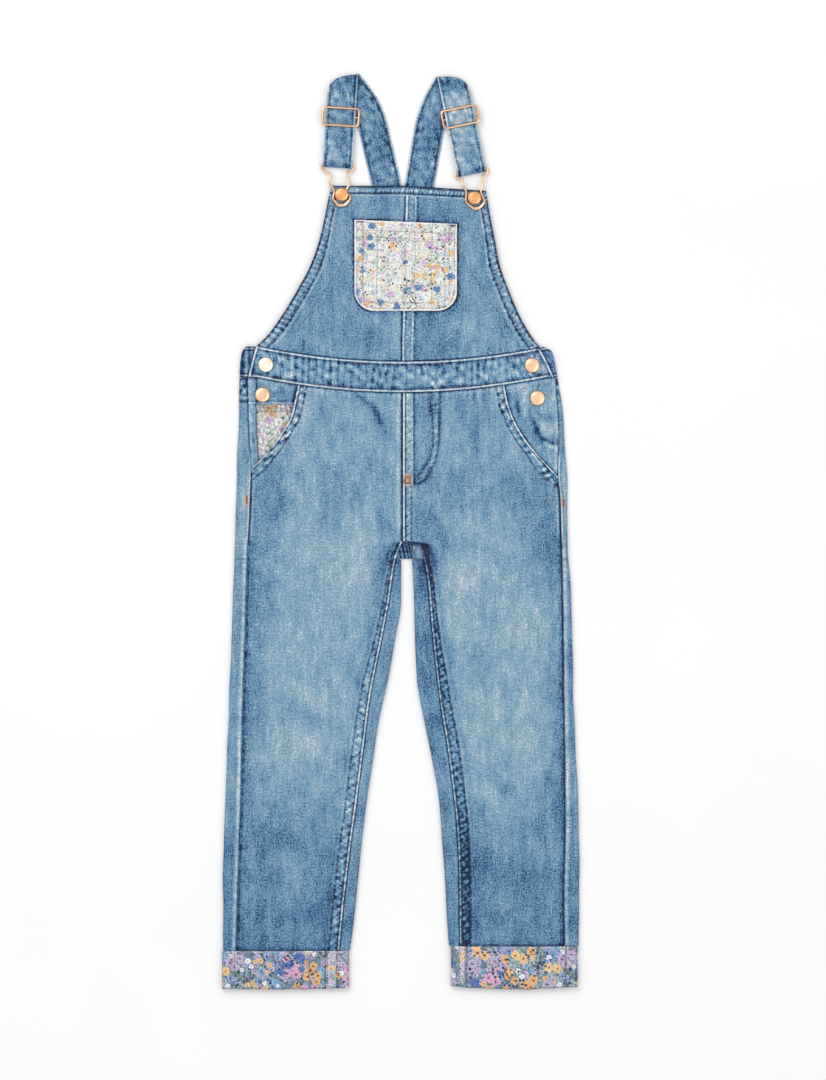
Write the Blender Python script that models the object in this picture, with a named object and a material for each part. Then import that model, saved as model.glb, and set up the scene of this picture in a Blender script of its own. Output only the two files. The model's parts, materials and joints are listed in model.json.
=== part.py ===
"""A child's denim dungarees, buttoned up and laid flat on their back with the legs straight.

Tables and sizes are in millimetres, and MM turns them into metres when a mesh is made.
+X is to the right seen from above, +Y runs from the hems up to the straps, +Z is up.
The origin is at the middle of the garment's outline, on the surface it lies on (z = 0).
Every cloth piece is a wall of its own, with SEAM between it and its neighbours.
"""
import math
from collections import namedtuple

import bmesh
import bpy
import numpy as np

MM = 0.001

# ---- cloth -------------------------------------------------------------------------------
WALL = 1.3  # one layer of denim
THIN_WALL = 1.0  # the printed cotton
BAND_WALL = 2.2  # a waistband, turned double
HEM_RAISE = 0.9  # what a hem or a felled seam adds to the wall
RIDGE_RAISE = 0.4  # the pressed edge of the front at the side seam
SEAM = 0.4  # between pieces that are sewn edge to edge
LAYER_GAP = 0.35  # between pieces that lie on each other
STEP = 1.1  # across which a hem's extra layers end
UNDERLAP = 6.0  # how far a back panel runs on under a front one

# ---- heights of the layers ---------------------------------------------------------------
FLAP_TOP = 3.0  # top of a back panel where it runs under a front one
FRONT_UNDER = 3.35  # underside of the front at the side seams
LEG_UNDER = 4.5  # underside of the front leg along its middle
BIB_UNDER = 2.3
WAIST_UNDER = 3.3
POCKET_LIFT = 1.45  # how far the front leg rises over the hip facing and bag

# ---- bib and waistband -------------------------------------------------------------------
WAIST_TOP = 171.0  # y of the waistband's upper seam at the middle
WAIST_BOTTOM = 139.8
WAIST_RISE = 15.0  # how far both seams rise to the ends
WAIST_HALF = 144.0
WAIST_MIDDLE = 2.0
WAIST_ENDS = {-1: (-144.2, -151.8), 1: (139.5, 153.8)}  # x of the front band's upper and lower corners
SLANT_HEIGHT = 30.0
BAND_CROWN = 0.5
BIB_TOP = 346.5
BIB_DROP = 5.0  # how far the bib's top falls from the middle to the right corner
BIB_CROWN = 0.5
BIB_HEM = 9.5
SIDE_HEM = 8.5
FELLED = 11.5  # width of a felled seam

# ---- turn-ups ----------------------------------------------------------------------------
CUFF_WALL = 2.4
CUFF_HEIGHT = 7.3
CUFF_ROUND = 3.6

# ---- straps and their metal --------------------------------------------------------------
STRAP_WIDTH = 29.4
STRAP_WALL = 1.4
ROLL_RADIUS = 2.6  # middle of the strap's wall where it rolls over the shoulder
WIRE = 1.0  # radius of slider and hook wire
SLIDER_HALF = (18.0, 8.75)
SLIDER_Z = 6.1
HOOK_BAR_Z = 2.7
HOOK_Z = 6.0  # middle of the hook's wire on the bib
WRAP = 2.0  # middle of the strap's wall round the hook's bar

# ---- outlines: (y, x) from top to bottom -------------------------------------------------
LEFT_FOLD = ((186, -154), (180, -158), (168, -160), (128, -161), (92, -162), (62, -163.5),
             (-8, -166), (-68, -168), (-148, -171), (-228, -174), (-308, -177), (-348, -178),
             (-420, -177.5))
RIGHT_FOLD = ((186, 143), (180, 152), (168, 155), (144, 159), (120, 163), (92, 164.5), (52, 167),
              (-8, 167.5), (-68, 171), (-148, 173), (-228, 176), (-268, 178), (-328, 179), (-420, 178.5))
LEFT_SIDE = ((156, -152.6), (100, -151), (64, -149), (32, -150), (-15, -152), (-106, -154.6),
             (-162, -156.7), (-282, -159.3), (-332, -161), (-420, -163.8))
RIGHT_SIDE = ((158, 153.8), (122, 157.6), (92, 158.4), (60, 158), (32, 160.2), (-14, 161.4),
              (-92, 162.8), (-162, 163.5), (-290, 165), (-356, 163.5), (-420, 164.3))
LEFT_INSEAM = ((140, 2.4), (-8, 2.4), (-17, -1), (-27, -4.5), (-70, -11.4), (-105, -18), (-134, -24),
               (-166, -30), (-216, -36.6), (-274, -44), (-310, -49), (-365, -55.7), (-420, -61))
RIGHT_INSEAM = ((140, 2.8), (-8, 2.8), (-12, 18), (-27, 24), (-50, 28), (-91, 31.6), (-126, 35),
                (-168, 40), (-214, 47.5), (-257, 53), (-298, 57.3), (-340, 59), (-420, 59.8))
LEFT_INNER = ((-27, 1), (-67, 1), (-107, -5), (-147, -12), (-187, -21), (-227, -27), (-267, -33),
              (-307, -38), (-347, -42), (-387, -46), (-420, -50.5))
RIGHT_INNER = ((-27, 12), (-67, 14), (-107, 15), (-147, 17), (-167, 20), (-187, 24), (-227, 32),
               (-267, 39), (-307, 42), (-347, 45), (-387, 47), (-420, 49.5))
FLY_END = -9.0  # y where the centre-front seam parts into the two inseams
FLY_FELLED = 9.5
INSEAM_BAND = ((140, 0.5), (-8, 4.5), (-70, 6), (-110, 7.5), (-150, 10), (-216, 11.2), (-420, 10.8))
LEFT_MOUTH = ((150, -101.1), (129, -105.7), (115.5, -109.1), (99.5, -118.3), (83, -129.8), (63.5, -148.8))
RIGHT_MOUTH = ((150, 103.9), (129, 107.9), (113, 113.7), (94.5, 124), (77.5, 137.8), (56, 157.8))
HIP_OVERLAP = 14.0  # how far the bag and facing run on under the front
FACING_BOTTOM = 128.4  # y where the left facing narrows to the strip along the side seam
FACING_STRIP = 8.0
FACING_STRIP_END = 72.0
MOUTH_BAND = ((150, 9), (115, 9.5), (83, 11), (66, 10.5), (52, 2.5), (-420, 2.5))
LEFT_BIB = ((346.5, -69), (318.5, -75), (294.5, -81), (270.5, -90), (246.5, -103), (222.5, -117),
            (198.5, -133), (186.8, -143.2))
RIGHT_BIB = ((341.5, 86), (318.5, 90), (294.5, 95), (270.5, 100), (246.5, 109), (222.5, 119),
             (198.5, 132), (186.8, 140.2))
BACK_BIB_HALF = ((338, 33), (318, 42), (294, 52), (270, 64), (246, 79), (222, 95), (200, 112), (186, 128))
BACK_BIB_MIDDLE = 4.0
BIB_SEAM = ((BIB_TOP, 6), (190, 2))
POCKET_TOP = 312.5  # y at the bib pocket's left end; the right end is POCKET_DROP lower
POCKET_DROP = 4.2
POCKET_BOTTOM = 221.4
POCKET_SIDES = (-45.6, 57.0)
POCKET_CORNER = 20.0
POCKET_HEM = 19.0
POCKET_HEM_RAISE = 0.6
CROTCH_FOLD = -26.3  # y of the fold between the legs
CROTCH_SIDES = (-2.8, 12.8)
CROTCH_SPREAD = (4.0, 13.0)  # how much wider the crotch band's end is, under the fronts
SEAT_BOTTOM = -11.0  # y where the centre-back seam gives way to the crotch band
SEAT_FLAT = 6.0
CURL_START = -13.5  # y where the back leg starts to curl up beside the crotch band
CURL_RUN = 17.0
CURL_RADIUS = 2.6
CURL_TAIL = 0.6
HEM_LEFT = -417.6  # y where the leg meets its turn-up
HEM_RIGHT = -413.0
CENTRE_BACK = 4.0
YOKE_BOTTOM = 130.0
BACK_BAND_WALL = 1.8
BACK_BAND_RADIUS = 2.4
BACK_STATIONS = (-141, *range(-118, 123, 20), 138)  # x where the back pieces follow the waist's sag

Crease = namedtuple("Crease", "x0 y0 x1 y1 width depth")
CREASES = (
    Crease(-30, 138, -4, 92, 9, 0.7),
    Crease(-12, 50, -22, -45, 14, 0.6),
    Crease(20, 20, 70, -40, 18, 0.5),
    Crease(75, -232, 118, -268, 16, 0.7),
    Crease(60, -330, 140, -352, 20, 0.5),
    Crease(-125, -170, -70, -200, 18, 0.6),
    Crease(-150, -300, -80, -322, 18, 0.5),
    Crease(-60, -372, -130, -386, 16, 0.5),
    Crease(100, 60, 140, 20, 16, 0.5),
    Crease(-100, 40, -140, 5, 16, 0.5),
)


def along(line, y):
    """x of an outline at height y."""
    ys = [point[0] for point in line]
    xs = [point[1] for point in line]
    return float(np.interp(-y, [-value for value in ys], xs))


def ease(value):
    value = min(max(value, 0.0), 1.0)
    return value * value * (3 - 2 * value)


def waist_line(x, middle_y):
    """y of a waistband seam: it sags to the middle and is level past its ends."""
    return middle_y + WAIST_RISE * min(abs(x - WAIST_MIDDLE) / WAIST_HALF, 1.0) ** 2


def crease_depth(x, y):
    """How far the creases sink the cloth at a point."""
    total = 0.0
    for crease in CREASES:
        run = np.array((crease.x1 - crease.x0, crease.y1 - crease.y0), float)
        length = float(np.hypot(*run))
        away = np.array((x - crease.x0, y - crease.y0), float)
        part = float(away @ run) / length ** 2
        across = abs(float(away[0] * run[1] - away[1] * run[0])) / length
        taper = ease(part / 0.3) * ease((1 - part) / 0.3)
        total += crease.depth * taper * math.exp(-(across / crease.width) ** 2)
    return total


# ---- meshes ------------------------------------------------------------------------------
def material(name, colour, roughness, metallic=0.0):
    made = bpy.data.materials.new(name)
    made.use_nodes = True
    shader = made.node_tree.nodes["Principled BSDF"]
    shader.inputs["Base Color"].default_value = (*colour, 1.0)
    shader.inputs["Roughness"].default_value = roughness
    shader.inputs["Metallic"].default_value = metallic
    return made


def add_object(name, points, faces, colour, smooth=False):
    mesh = bpy.data.meshes.new(name)
    mesh.from_pydata([tuple(np.asarray(point, float) * MM) for point in points], [], faces)
    edit = bmesh.new()
    edit.from_mesh(mesh)
    bmesh.ops.recalc_face_normals(edit, faces=edit.faces)
    edit.to_mesh(mesh)
    edit.free()
    made = bpy.data.objects.new(name, mesh)
    bpy.context.scene.collection.objects.link(made)
    mesh.materials.append(COLOURS[colour](name))
    if smooth:
        mesh.shade_smooth()
        mesh.set_sharp_from_angle(angle=math.radians(40))
    return made


def wall(name, under, over, colour):
    """A closed wall between two grids of points of the same rows and columns."""
    under = np.asarray(under, float)
    over = np.asarray(over, float)
    rows, columns = under.shape[:2]
    points = np.concatenate((under.reshape(-1, 3), over.reshape(-1, 3)))
    half = rows * columns
    faces = []
    for i in range(rows - 1):
        for j in range(columns - 1):
            a = i * columns + j
            quad = (a, a + 1, a + columns + 1, a + columns)
            faces.append(quad[::-1])
            faces.append(tuple(corner + half for corner in quad))
    rim = list(range(columns))
    rim += [i * columns + columns - 1 for i in range(1, rows)]
    rim += [(rows - 1) * columns + j for j in range(columns - 2, -1, -1)]
    rim += [i * columns for i in range(rows - 2, 0, -1)]
    for a, b in zip(rim, rim[1:] + rim[:1]):
        faces.append((a, b, b + half, a + half))
    return add_object(name, points, faces, colour)


def flat_wall(name, rows, under, thickness, raised, colour):
    """A piece that lies face up: rows of (x, y), the height of its underside at (x, y), and at
    each row and column what its hems add to the top."""
    low = []
    high = []
    for i, row in enumerate(rows):
        low.append([(x, y, under(x, y)) for x, y in row])
        high.append([(x, y, under(x, y) + thickness + raised(i, j)) for j, (x, y) in enumerate(row)])
    return wall(name, low, high, colour)


def level(height):
    """The underside of a piece that lies level."""
    return lambda x, y: height


def plain(row, column):
    """The top of a piece with no hem."""
    return 0.0


def normals_of(grid):
    down = np.gradient(grid, axis=0)
    across = np.gradient(grid, axis=1)
    normal = np.cross(down, across)
    return normal / np.linalg.norm(normal, axis=2, keepdims=True)


def offset_line(line, distance):
    """A section line moved sideways in its own XZ plane, to the left of its direction."""
    line = np.asarray(line, float)
    steps = np.diff(line, axis=0)
    sides = np.stack((-steps[:, 1], steps[:, 0]), axis=1)
    sides /= np.linalg.norm(sides, axis=1, keepdims=True)
    moved = []
    for i, point in enumerate(line):
        first = sides[max(i - 1, 0)]
        second = sides[min(i, len(sides) - 1)]
        middle = first + second
        middle = middle / np.linalg.norm(middle)
        moved.append(point + middle * distance / max(float(middle @ first), 0.6))
    return moved


# ---- back panels -------------------------------------------------------------------------
ARC_STEPS = 4


def fold_section(fold, radius, turn, flap, side):
    """Half of a back panel's outer line, from its resting face round a side fold to its end.

    side is -1 on the left and +1 on the right. turn is the angle it has turned through, and
    flap lists the (x, z) points after the turn.
    """
    line = []
    for step in range(ARC_STEPS + 1):
        angle = turn * step / ARC_STEPS
        line.append((fold - side * radius * (1 - math.sin(angle)), radius * (1 - math.cos(angle))))
    return line + list(flap)


def side_flap(fold, radius, seam, side):
    """The flap of a back panel on the upper side, dipping under the front at the seam."""
    start = fold - side * radius
    top = 2 * radius
    room = side * (start - seam)
    dip_start = start - side * max(room - 4.5, 0.25 * room)
    bulge = 0.25 * min(room / 12.0, 1.0)
    return ((dip_start, top + bulge), (seam, FLAP_TOP), (seam - side * UNDERLAP, FLAP_TOP))


def fold_radius(y):
    return 1.5 + 0.8 * ease((52.0 - y) / 50.0)


def back_leg(name, side):
    """A back leg with the seat: side is -1 for the left leg and +1 for the right."""
    fold_line = LEFT_FOLD if side < 0 else RIGHT_FOLD
    side_line = LEFT_SIDE if side < 0 else RIGHT_SIDE
    inner_line = LEFT_INNER if side < 0 else RIGHT_INNER
    inseam_line = LEFT_INSEAM if side < 0 else RIGHT_INSEAM
    hem = HEM_LEFT if side < 0 else HEM_RIGHT
    notch = CROTCH_SIDES[0] - SEAM if side < 0 else CROTCH_SIDES[1] + SEAM
    ys = [YOKE_BOTTOM - 0.5, 112, 94, 76, 60, 44, 20, -4]
    ys += [SEAT_BOTTOM + SEAM, SEAT_BOTTOM - SEAM, -18, CROTCH_FOLD + 0.5, -31, -40]
    ys += [-52 + (hem + 52) * step / 13 for step in range(14)]
    outer_rows = []
    for y in ys:
        radius = fold_radius(y)
        fold = along(fold_line, y)
        flap = side_flap(fold, radius, along(side_line, y), side)
        outer = fold_section(fold, radius, math.pi, flap, side)
        inner = inner_section(y, -side, inner_line, inseam_line, notch)
        bottom_start = outer[0][0] - side * 1.0
        bottom_end = inner[0][0] + side * 1.0
        bottom = [(bottom_start + (bottom_end - bottom_start) * step / 4, 0.0) for step in range(5)]
        section = outer[::-1] + bottom + inner
        if side > 0:
            section = section[::-1]
        outer_rows.append([(x, y, z) for x, z in section])
    inner_rows = []
    for row in outer_rows:
        moved = offset_line([(x, z) for x, _, z in row], WALL)
        inner_rows.append([(point[0], row[0][1], point[1]) for point in moved])
    return wall(name, inner_rows, outer_rows, "denim")


def seat_end(end, side, lean):
    """The inner end of the seat, flat or curling up to lean, with as many points as a side fold."""
    if lean == 0.0:
        start = end - side * SEAT_FLAT
        return [(start + side * SEAT_FLAT * part / (ARC_STEPS + 3), 0.0) for part in range(ARC_STEPS + 4)]
    line = []
    for step in range(ARC_STEPS + 1):
        angle = lean * step / ARC_STEPS
        x = end - side * CURL_RADIUS * (1 - math.sin(angle))
        line.append((x, CURL_RADIUS * (1 - math.cos(angle))))
    x, z = line[-1]
    for part in (1, 2, 3):
        reach = CURL_TAIL * part / 3
        line.append((x + side * reach * math.cos(lean), z + reach * math.sin(lean)))
    return line


def inner_section(y, side, inner_line, inseam_line, notch):
    """The inner end of a back leg: flat at the centre-back seam, curling up beside the crotch
    band, and below it a side fold like the outer one."""
    if y > SEAT_BOTTOM:
        return seat_end(CENTRE_BACK - side * SEAM / 2, side, 0.0)
    if y > CROTCH_FOLD:
        lean = min(math.pi * ease((CURL_START - y) / CURL_RUN), 0.5 * math.pi)
        return seat_end(notch, side, lean)
    fold = along(inner_line, y)
    radius = fold_radius(y)
    flap = side_flap(fold, radius, along(inseam_line, y), side)
    return fold_section(fold, radius, math.pi, flap, side)


def wrapped_back(name, row_y, rows, thickness, flap_of, radius, split=0):
    """A back piece from side fold to side fold, or from one fold to a flat end at the centre seam.

    row_y(x, row) gives the rows' places and flap_of(side, row, fold) the points after a fold.
    split is -1 for a left piece and +1 for a right one.
    """
    outer_rows = []
    inner_rows = []
    for row in range(rows):
        halves = {}
        for side, line in ((-1, LEFT_FOLD), (1, RIGHT_FOLD)):
            fold = along(line, row_y(side * WAIST_HALF, row))
            halves[side] = fold_section(fold, radius, math.pi, flap_of(side, row, fold), side)
        if split:
            halves[-split] = [(CENTRE_BACK + split * SEAM / 2, 0.0)]
        start = halves[-1][0][0]
        end = halves[1][0][0]
        bottom = [(x, 0.0) for x in BACK_STATIONS if start + 1 < x < end - 1]
        section = halves[-1][::-1] + bottom + halves[1]
        moved = offset_line(section, thickness)
        outer_rows.append([(x, row_y(x, row), z) for x, z in section])
        inner_rows.append([(point[0], row_y(x, row), point[1]) for point, (x, _) in zip(moved, section)])
    return wall(name, inner_rows, outer_rows, "denim")


BACK_ROWS = 4


def rows_between(upper, lower):
    """Places of BACK_ROWS rows between two seams, each given as y at x."""

    def row_y(x, row):
        top = upper(x) - SEAM / 2
        bottom = lower(x) + SEAM / 2
        return top + (bottom - top) * row / (BACK_ROWS - 1)

    return row_y


def build_back_waist():
    band_y = rows_between(lambda x: waist_line(x, WAIST_TOP), lambda x: waist_line(x, WAIST_BOTTOM))
    yoke_y = rows_between(lambda x: waist_line(x, WAIST_BOTTOM - SEAM), lambda x: YOKE_BOTTOM)

    def band_flap(side, row, fold):
        end = waist_end(side, band_y(side * WAIST_HALF, row)) + side * 1.0
        start = fold - side * BACK_BAND_RADIUS
        room = max(side * (start - end), 0.6)
        return [(start - side * room * part / 3, 2 * BACK_BAND_RADIUS) for part in (1, 2, 3)]

    def yoke_flap(side, row, fold):
        y = yoke_y(side * WAIST_HALF, row)
        return side_flap(fold, fold_radius(y), along(LEFT_SIDE if side < 0 else RIGHT_SIDE, y), side)

    wrapped_back("waistband_back", band_y, BACK_ROWS, BACK_BAND_WALL, band_flap, BACK_BAND_RADIUS)
    for side, name in ((-1, "back_yoke_left"), (1, "back_yoke_right")):
        wrapped_back(name, yoke_y, BACK_ROWS, WALL, yoke_flap, fold_radius(YOKE_BOTTOM), split=side)


def build_crotch_band():
    """The end of the seat seam: flat on the floor, round the crotch fold, and up under the fronts."""
    radius = FLAP_TOP / 2
    path = [(SEAT_BOTTOM - SEAM, 0.0), (CROTCH_FOLD + radius + 1.0, 0.0)]
    for step in range(ARC_STEPS + 1):
        angle = math.pi * step / ARC_STEPS
        path.append((CROTCH_FOLD + radius - radius * math.sin(angle), radius * (1 - math.cos(angle))))
    path += [(y, FLAP_TOP) for y in (-20.0, -13.5, -12.5, -6.0)]
    moved = offset_line([(-y, z) for y, z in path], WALL)
    left, right = CROTCH_SIDES
    outer_rows = []
    inner_rows = []
    for k, (y, z) in enumerate(path):
        wide = k > len(path) - 3
        low = left - (CROTCH_SPREAD[0] if wide else 0.0)
        high = right + (CROTCH_SPREAD[1] if wide else 0.0)
        xs = [low + (high - low) * part / 4 for part in range(5)]
        outer_rows.append([(x, y, z) for x in xs])
        inner_rows.append([(x, -moved[k][0], moved[k][1]) for x in xs])
    wall("crotch_band", inner_rows, outer_rows, "seam")


# ---- front panels ------------------------------------------------------------------------
def waist_end(side, y):
    """x of the front waistband's end: it slants outwards from top to bottom."""
    part = min((WAIST_TOP + WAIST_RISE - y) / SLANT_HEIGHT, 1.0)
    upper, lower = WAIST_ENDS[side]
    return upper + (lower - upper) * part


def front_under(side):
    """Height of a front leg's underside at (x, y)."""
    side_line = LEFT_SIDE if side < 0 else RIGHT_SIDE
    inseam_line = LEFT_INSEAM if side < 0 else RIGHT_INSEAM
    mouth = LEFT_MOUTH if side < 0 else RIGHT_MOUTH

    def under(x, y):
        from_side = side * (along(side_line, y) - x)
        from_inseam = side * (x - along(inseam_line, y))
        middle = ease(from_side / 45.0) * (ease(from_inseam / 30.0) if y < 0 else 1.0)
        height = FRONT_UNDER + (LEG_UNDER - FRONT_UNDER) * middle
        near_side = ease((50.0 + side * (x - along(mouth, y))) / 16.0) * ease((y - 18.0) / 16.0)
        over_bag = POCKET_LIFT * near_side
        free = ease(from_side / 25.0) * ease(from_inseam / 25.0) * (1 - near_side)
        return max(height, FRONT_UNDER + over_bag) - crease_depth(x, y) * free

    return under


def front_leg(name, side):
    """A front leg from the waistband to the turn-up, cut away at the hip for the pocket mouth."""
    side_line = LEFT_SIDE if side < 0 else RIGHT_SIDE
    inseam_line = LEFT_INSEAM if side < 0 else RIGHT_INSEAM
    mouth = LEFT_MOUTH if side < 0 else RIGHT_MOUTH
    hem = HEM_LEFT if side < 0 else HEM_RIGHT
    mouth_end = mouth[-1][0]
    ys = [139.0, 129.0, 115.5, 100, 84, 72, mouth_end, 52, 36, 14, -8, -12, -27, -50]
    ys += [-70 + (hem + 70) * step / 12 for step in range(13)]
    rows = []

    def lifted(x, y, first):
        """Rows near the waist follow its sag, less and less further down."""
        if first:
            return waist_line(x, WAIST_BOTTOM) - SEAM / 2
        return y + (waist_line(x, WAIST_BOTTOM) - WAIST_BOTTOM) * 0.5 * ease((y - 100) / 30.0)

    for i, y in enumerate(ys):
        edge = along(mouth, y) if y >= mouth_end else along(side_line, y)
        if y > 100:
            edge = along(mouth, lifted(edge, y, i == 0))
        band = along(MOUTH_BAND, y)
        seam = along(inseam_line, y)
        felled = along(INSEAM_BAND, y)
        if side > 0 and y > FLY_END:
            felled = FLY_FELLED
        inner_x = seam + side * SEAM / 2 if y > FLY_END else seam
        outer_stop = edge - side * (band + STEP)
        inner_stop = seam + side * (felled + STEP)
        xs = [edge, edge - side * band]
        xs += [outer_stop + (inner_stop - outer_stop) * part / 6 for part in range(7)]
        xs += [seam + side * felled, inner_x]
        rows.append([(x, lifted(x, y, i == 0)) for x in xs])

    def raised(i, j):
        if j <= 1:
            return HEM_RAISE if ys[i] >= mouth_end - 1 else RIDGE_RAISE
        if j >= 9:
            return HEM_RAISE if side > 0 or ys[i] < FLY_END else 0.0
        return 0.0

    flat_wall(name, rows, front_under(side), WALL, raised, "denim")


def hip_rows(side, outer_inset):
    """Rows from the garment's side edge to past the pocket mouth, for a facing or a bag."""
    side_line = LEFT_SIDE if side < 0 else RIGHT_SIDE
    mouth = LEFT_MOUTH if side < 0 else RIGHT_MOUTH
    rows = []
    for i, y in enumerate((148.0, 136, 122, 108, 94, 80, 66, 54, 44)):
        outer = along(side_line, y) - side * outer_inset
        inner = along(mouth, y) - side * HIP_OVERLAP
        xs = [outer + (inner - outer) * part / 5 for part in range(6)]
        row = []
        for x in xs:
            row_y = waist_line(x, WAIST_BOTTOM) - SEAM / 2 if i == 0 else y
            row.append((x, row_y))
        rows.append(row)
    return rows


def build_hips():
    flat_wall("pocket_bag_left", hip_rows(-1, 1.5), level(FRONT_UNDER), THIN_WALL, plain, "floral")
    flat_wall("hip_facing_right", hip_rows(1, 0.0), level(FRONT_UNDER), WALL, plain, "denim")
    rows = []
    for i, y in enumerate((150.0, 140.0, FACING_BOTTOM, FACING_BOTTOM - 1, 110.0, 92.0, FACING_STRIP_END)):
        outer = along(LEFT_SIDE, y)
        inner = along(LEFT_MOUTH, y) - 0.6 if y >= FACING_BOTTOM else outer + FACING_STRIP
        xs = [outer + (inner - outer) * part / 4 for part in range(5)]
        rows.append([(x, waist_line(x, WAIST_BOTTOM) - SEAM if i == 0 else y) for x in xs])
    flat_wall("hip_facing_left", rows, level(FRONT_UNDER + THIN_WALL + LAYER_GAP), WALL, plain, "denim")


def build_waistband():
    steps = [-1.0, -0.9, -0.78, -0.64, -0.48, -0.32, -0.16, 0.0, 0.16, 0.32, 0.48, 0.64, 0.78, 0.9, 1.0]
    rows = []
    for part in (0.0, 0.1, 0.5, 0.9, 1.0):
        row = []
        for step in steps:
            end = waist_end(-1 if step < 0 else 1, WAIST_TOP + WAIST_RISE - SLANT_HEIGHT * part)
            x = WAIST_MIDDLE + abs(step) * (end - WAIST_MIDDLE)
            top = waist_line(x, WAIST_TOP) - SEAM / 2
            bottom = waist_line(x, WAIST_BOTTOM) + SEAM / 2
            row.append((x, top + (bottom - top) * part))
        rows.append(row)

    def raised(i, j):
        return BAND_CROWN if i in (1, 2, 3) else 0.0

    flat_wall("waistband_front", rows, level(WAIST_UNDER), BAND_WALL, raised, "denim")


# ---- bib ---------------------------------------------------------------------------------
def bib_top(x):
    """y of the bib's top edge: level to past the middle, then falling to the right."""
    return BIB_TOP - BIB_DROP * max((x - 6.0) / 80.0, 0.0)


def bib_under(x, y):
    return BIB_UNDER + BIB_CROWN * ease((y - WAIST_TOP) / 60.0) * ease((BIB_TOP - y) / 60.0)


def build_bib():
    height = BIB_TOP - WAIST_TOP
    hem_shares = (0.0, BIB_HEM / height, (BIB_HEM + STEP) / height)
    shares = (*hem_shares, 0.18, 0.3, 0.42, 0.54, 0.66, 0.78, 0.9, 1.0)
    for side, name, line in ((-1, "bib_front_left", LEFT_BIB), (1, "bib_front_right", RIGHT_BIB)):
        rows = []
        for share in shares:
            y_edge = line[0][0] + (line[-1][0] - line[0][0]) * share
            edge = along(line, y_edge)
            seam = along(BIB_SEAM, BIB_TOP - height * share) + side * SEAM / 2
            felled = FELLED if side > 0 else 0.4
            outer_stop = edge - side * (SIDE_HEM + STEP)
            inner_stop = seam + side * (felled + STEP)
            xs = [edge, edge - side * SIDE_HEM]
            xs += [outer_stop + (inner_stop - outer_stop) * part / 4 for part in range(5)]
            xs += [seam + side * felled, seam]
            row = []
            for x in xs:
                top = bib_top(x)
                bottom = waist_line(x, WAIST_TOP) + SEAM / 2
                row.append((x, top + (bottom - top) * share))
            rows.append(row)

        def raised(i, j, felled_side=side > 0):
            hem = HEM_RAISE if i <= 1 else 0.0
            edge_hem = HEM_RAISE if j <= 1 else 0.0
            seam_ridge = HEM_RAISE if felled_side and j >= 7 else 0.0
            return max(hem, edge_hem, seam_ridge)

        flat_wall(name, rows, bib_under, WALL, raised, "denim")
    rows = []
    for y, half in BACK_BIB_HALF:
        y_row = []
        for part in range(7):
            x = BACK_BIB_MIDDLE + half * (part / 3 - 1)
            low = waist_line(x, WAIST_TOP) + 2 * SEAM
            y_row.append((x, low if y == BACK_BIB_HALF[-1][0] else y))
        rows.append(y_row)
    flat_wall("bib_back", rows, level(0.0), WALL, plain, "denim")


def build_bib_pocket():
    """Moved out from the bib under it, so the bib's felled seam lifts its middle."""
    left, right = POCKET_SIDES
    height = POCKET_TOP - POCKET_BOTTOM
    shares = [0.0, POCKET_HEM / height, (POCKET_HEM + STEP) / height, 0.4, 0.58, 0.76]
    shares += [1 - POCKET_CORNER / height * (1 - math.sin(angle)) for angle in (0.45, 0.9, 1.25, 1.5708)]
    rows = []
    for share in shares:
        drop = share * height - (height - POCKET_CORNER)
        inset = 0.0
        if drop > 0:
            inset = POCKET_CORNER - math.sqrt(max(POCKET_CORNER ** 2 - drop ** 2, 0.0))
        inset = min(inset, POCKET_CORNER - 1.0)
        y = POCKET_TOP - share * height
        seam = along(BIB_SEAM, y + 8.0)
        ridge = (seam - 2.6, seam - 1.0, seam + FELLED + STEP + 0.6, seam + FELLED + STEP + 2.2)
        low = left + inset
        high = right - inset
        xs = [low, low + 0.5 * (ridge[0] - low), *ridge, high - 0.5 * (high - ridge[3]), high]
        row = []
        for x in xs:
            slope = POCKET_DROP * (x - left) / (right - left) * (1 - share)
            row.append((x, y - slope))
        rows.append(row)

    def under(x, y):
        seam = along(BIB_SEAM, y + 8.0)
        over_ridge = seam - 2.0 < x < seam + FELLED + STEP + 1.4
        return BIB_UNDER + BIB_CROWN + WALL + LAYER_GAP + (HEM_RAISE if over_ridge else 0.0)

    def raised(i, j):
        return POCKET_HEM_RAISE if i <= 1 else 0.0

    flat_wall("bib_pocket", rows, under, THIN_WALL, raised, "floral")


# ---- turn-ups ----------------------------------------------------------------------------
def ring_wall(name, outer_rings, inner_rings, colour):
    """A tube wall with open ends, from rings of points of equal count."""
    outer = np.asarray(outer_rings, float)
    inner = np.asarray(inner_rings, float)
    rings, count = outer.shape[:2]
    points = np.concatenate((outer.reshape(-1, 3), inner.reshape(-1, 3)))
    half = rings * count
    faces = []
    for i in range(rings - 1):
        for j in range(count):
            a = i * count + j
            b = i * count + (j + 1) % count
            faces.append((a, b, b + count, a + count))
            faces.append((a + half, a + count + half, b + count + half, b + half))
    for i in (0, rings - 1):
        for j in range(count):
            a = i * count + j
            b = i * count + (j + 1) % count
            faces.append((a, b, b + half, a + half))
    return add_object(name, points, faces, colour)


def cuff_ring(left, right, height, rounding, inset):
    """One ring of a turn-up in its section plane: flat below, round at the sides, crowned above."""
    radius = rounding - inset
    half = height / 2 - inset
    width = right - left - 2 * rounding
    turns = [math.pi * step / 4 for step in range(5)]
    bends = [(radius * math.sin(turn), half * math.cos(turn)) for turn in turns]
    ring = [(right - rounding + out, height / 2 - up) for out, up in bends]
    ring += [(right - rounding - width * part / 5, height - inset) for part in range(1, 5)]
    ring += [(left + rounding - out, height / 2 + up) for out, up in bends]
    ring += [(left + rounding + width * part / 5, inset) for part in range(1, 5)]
    return ring


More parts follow.
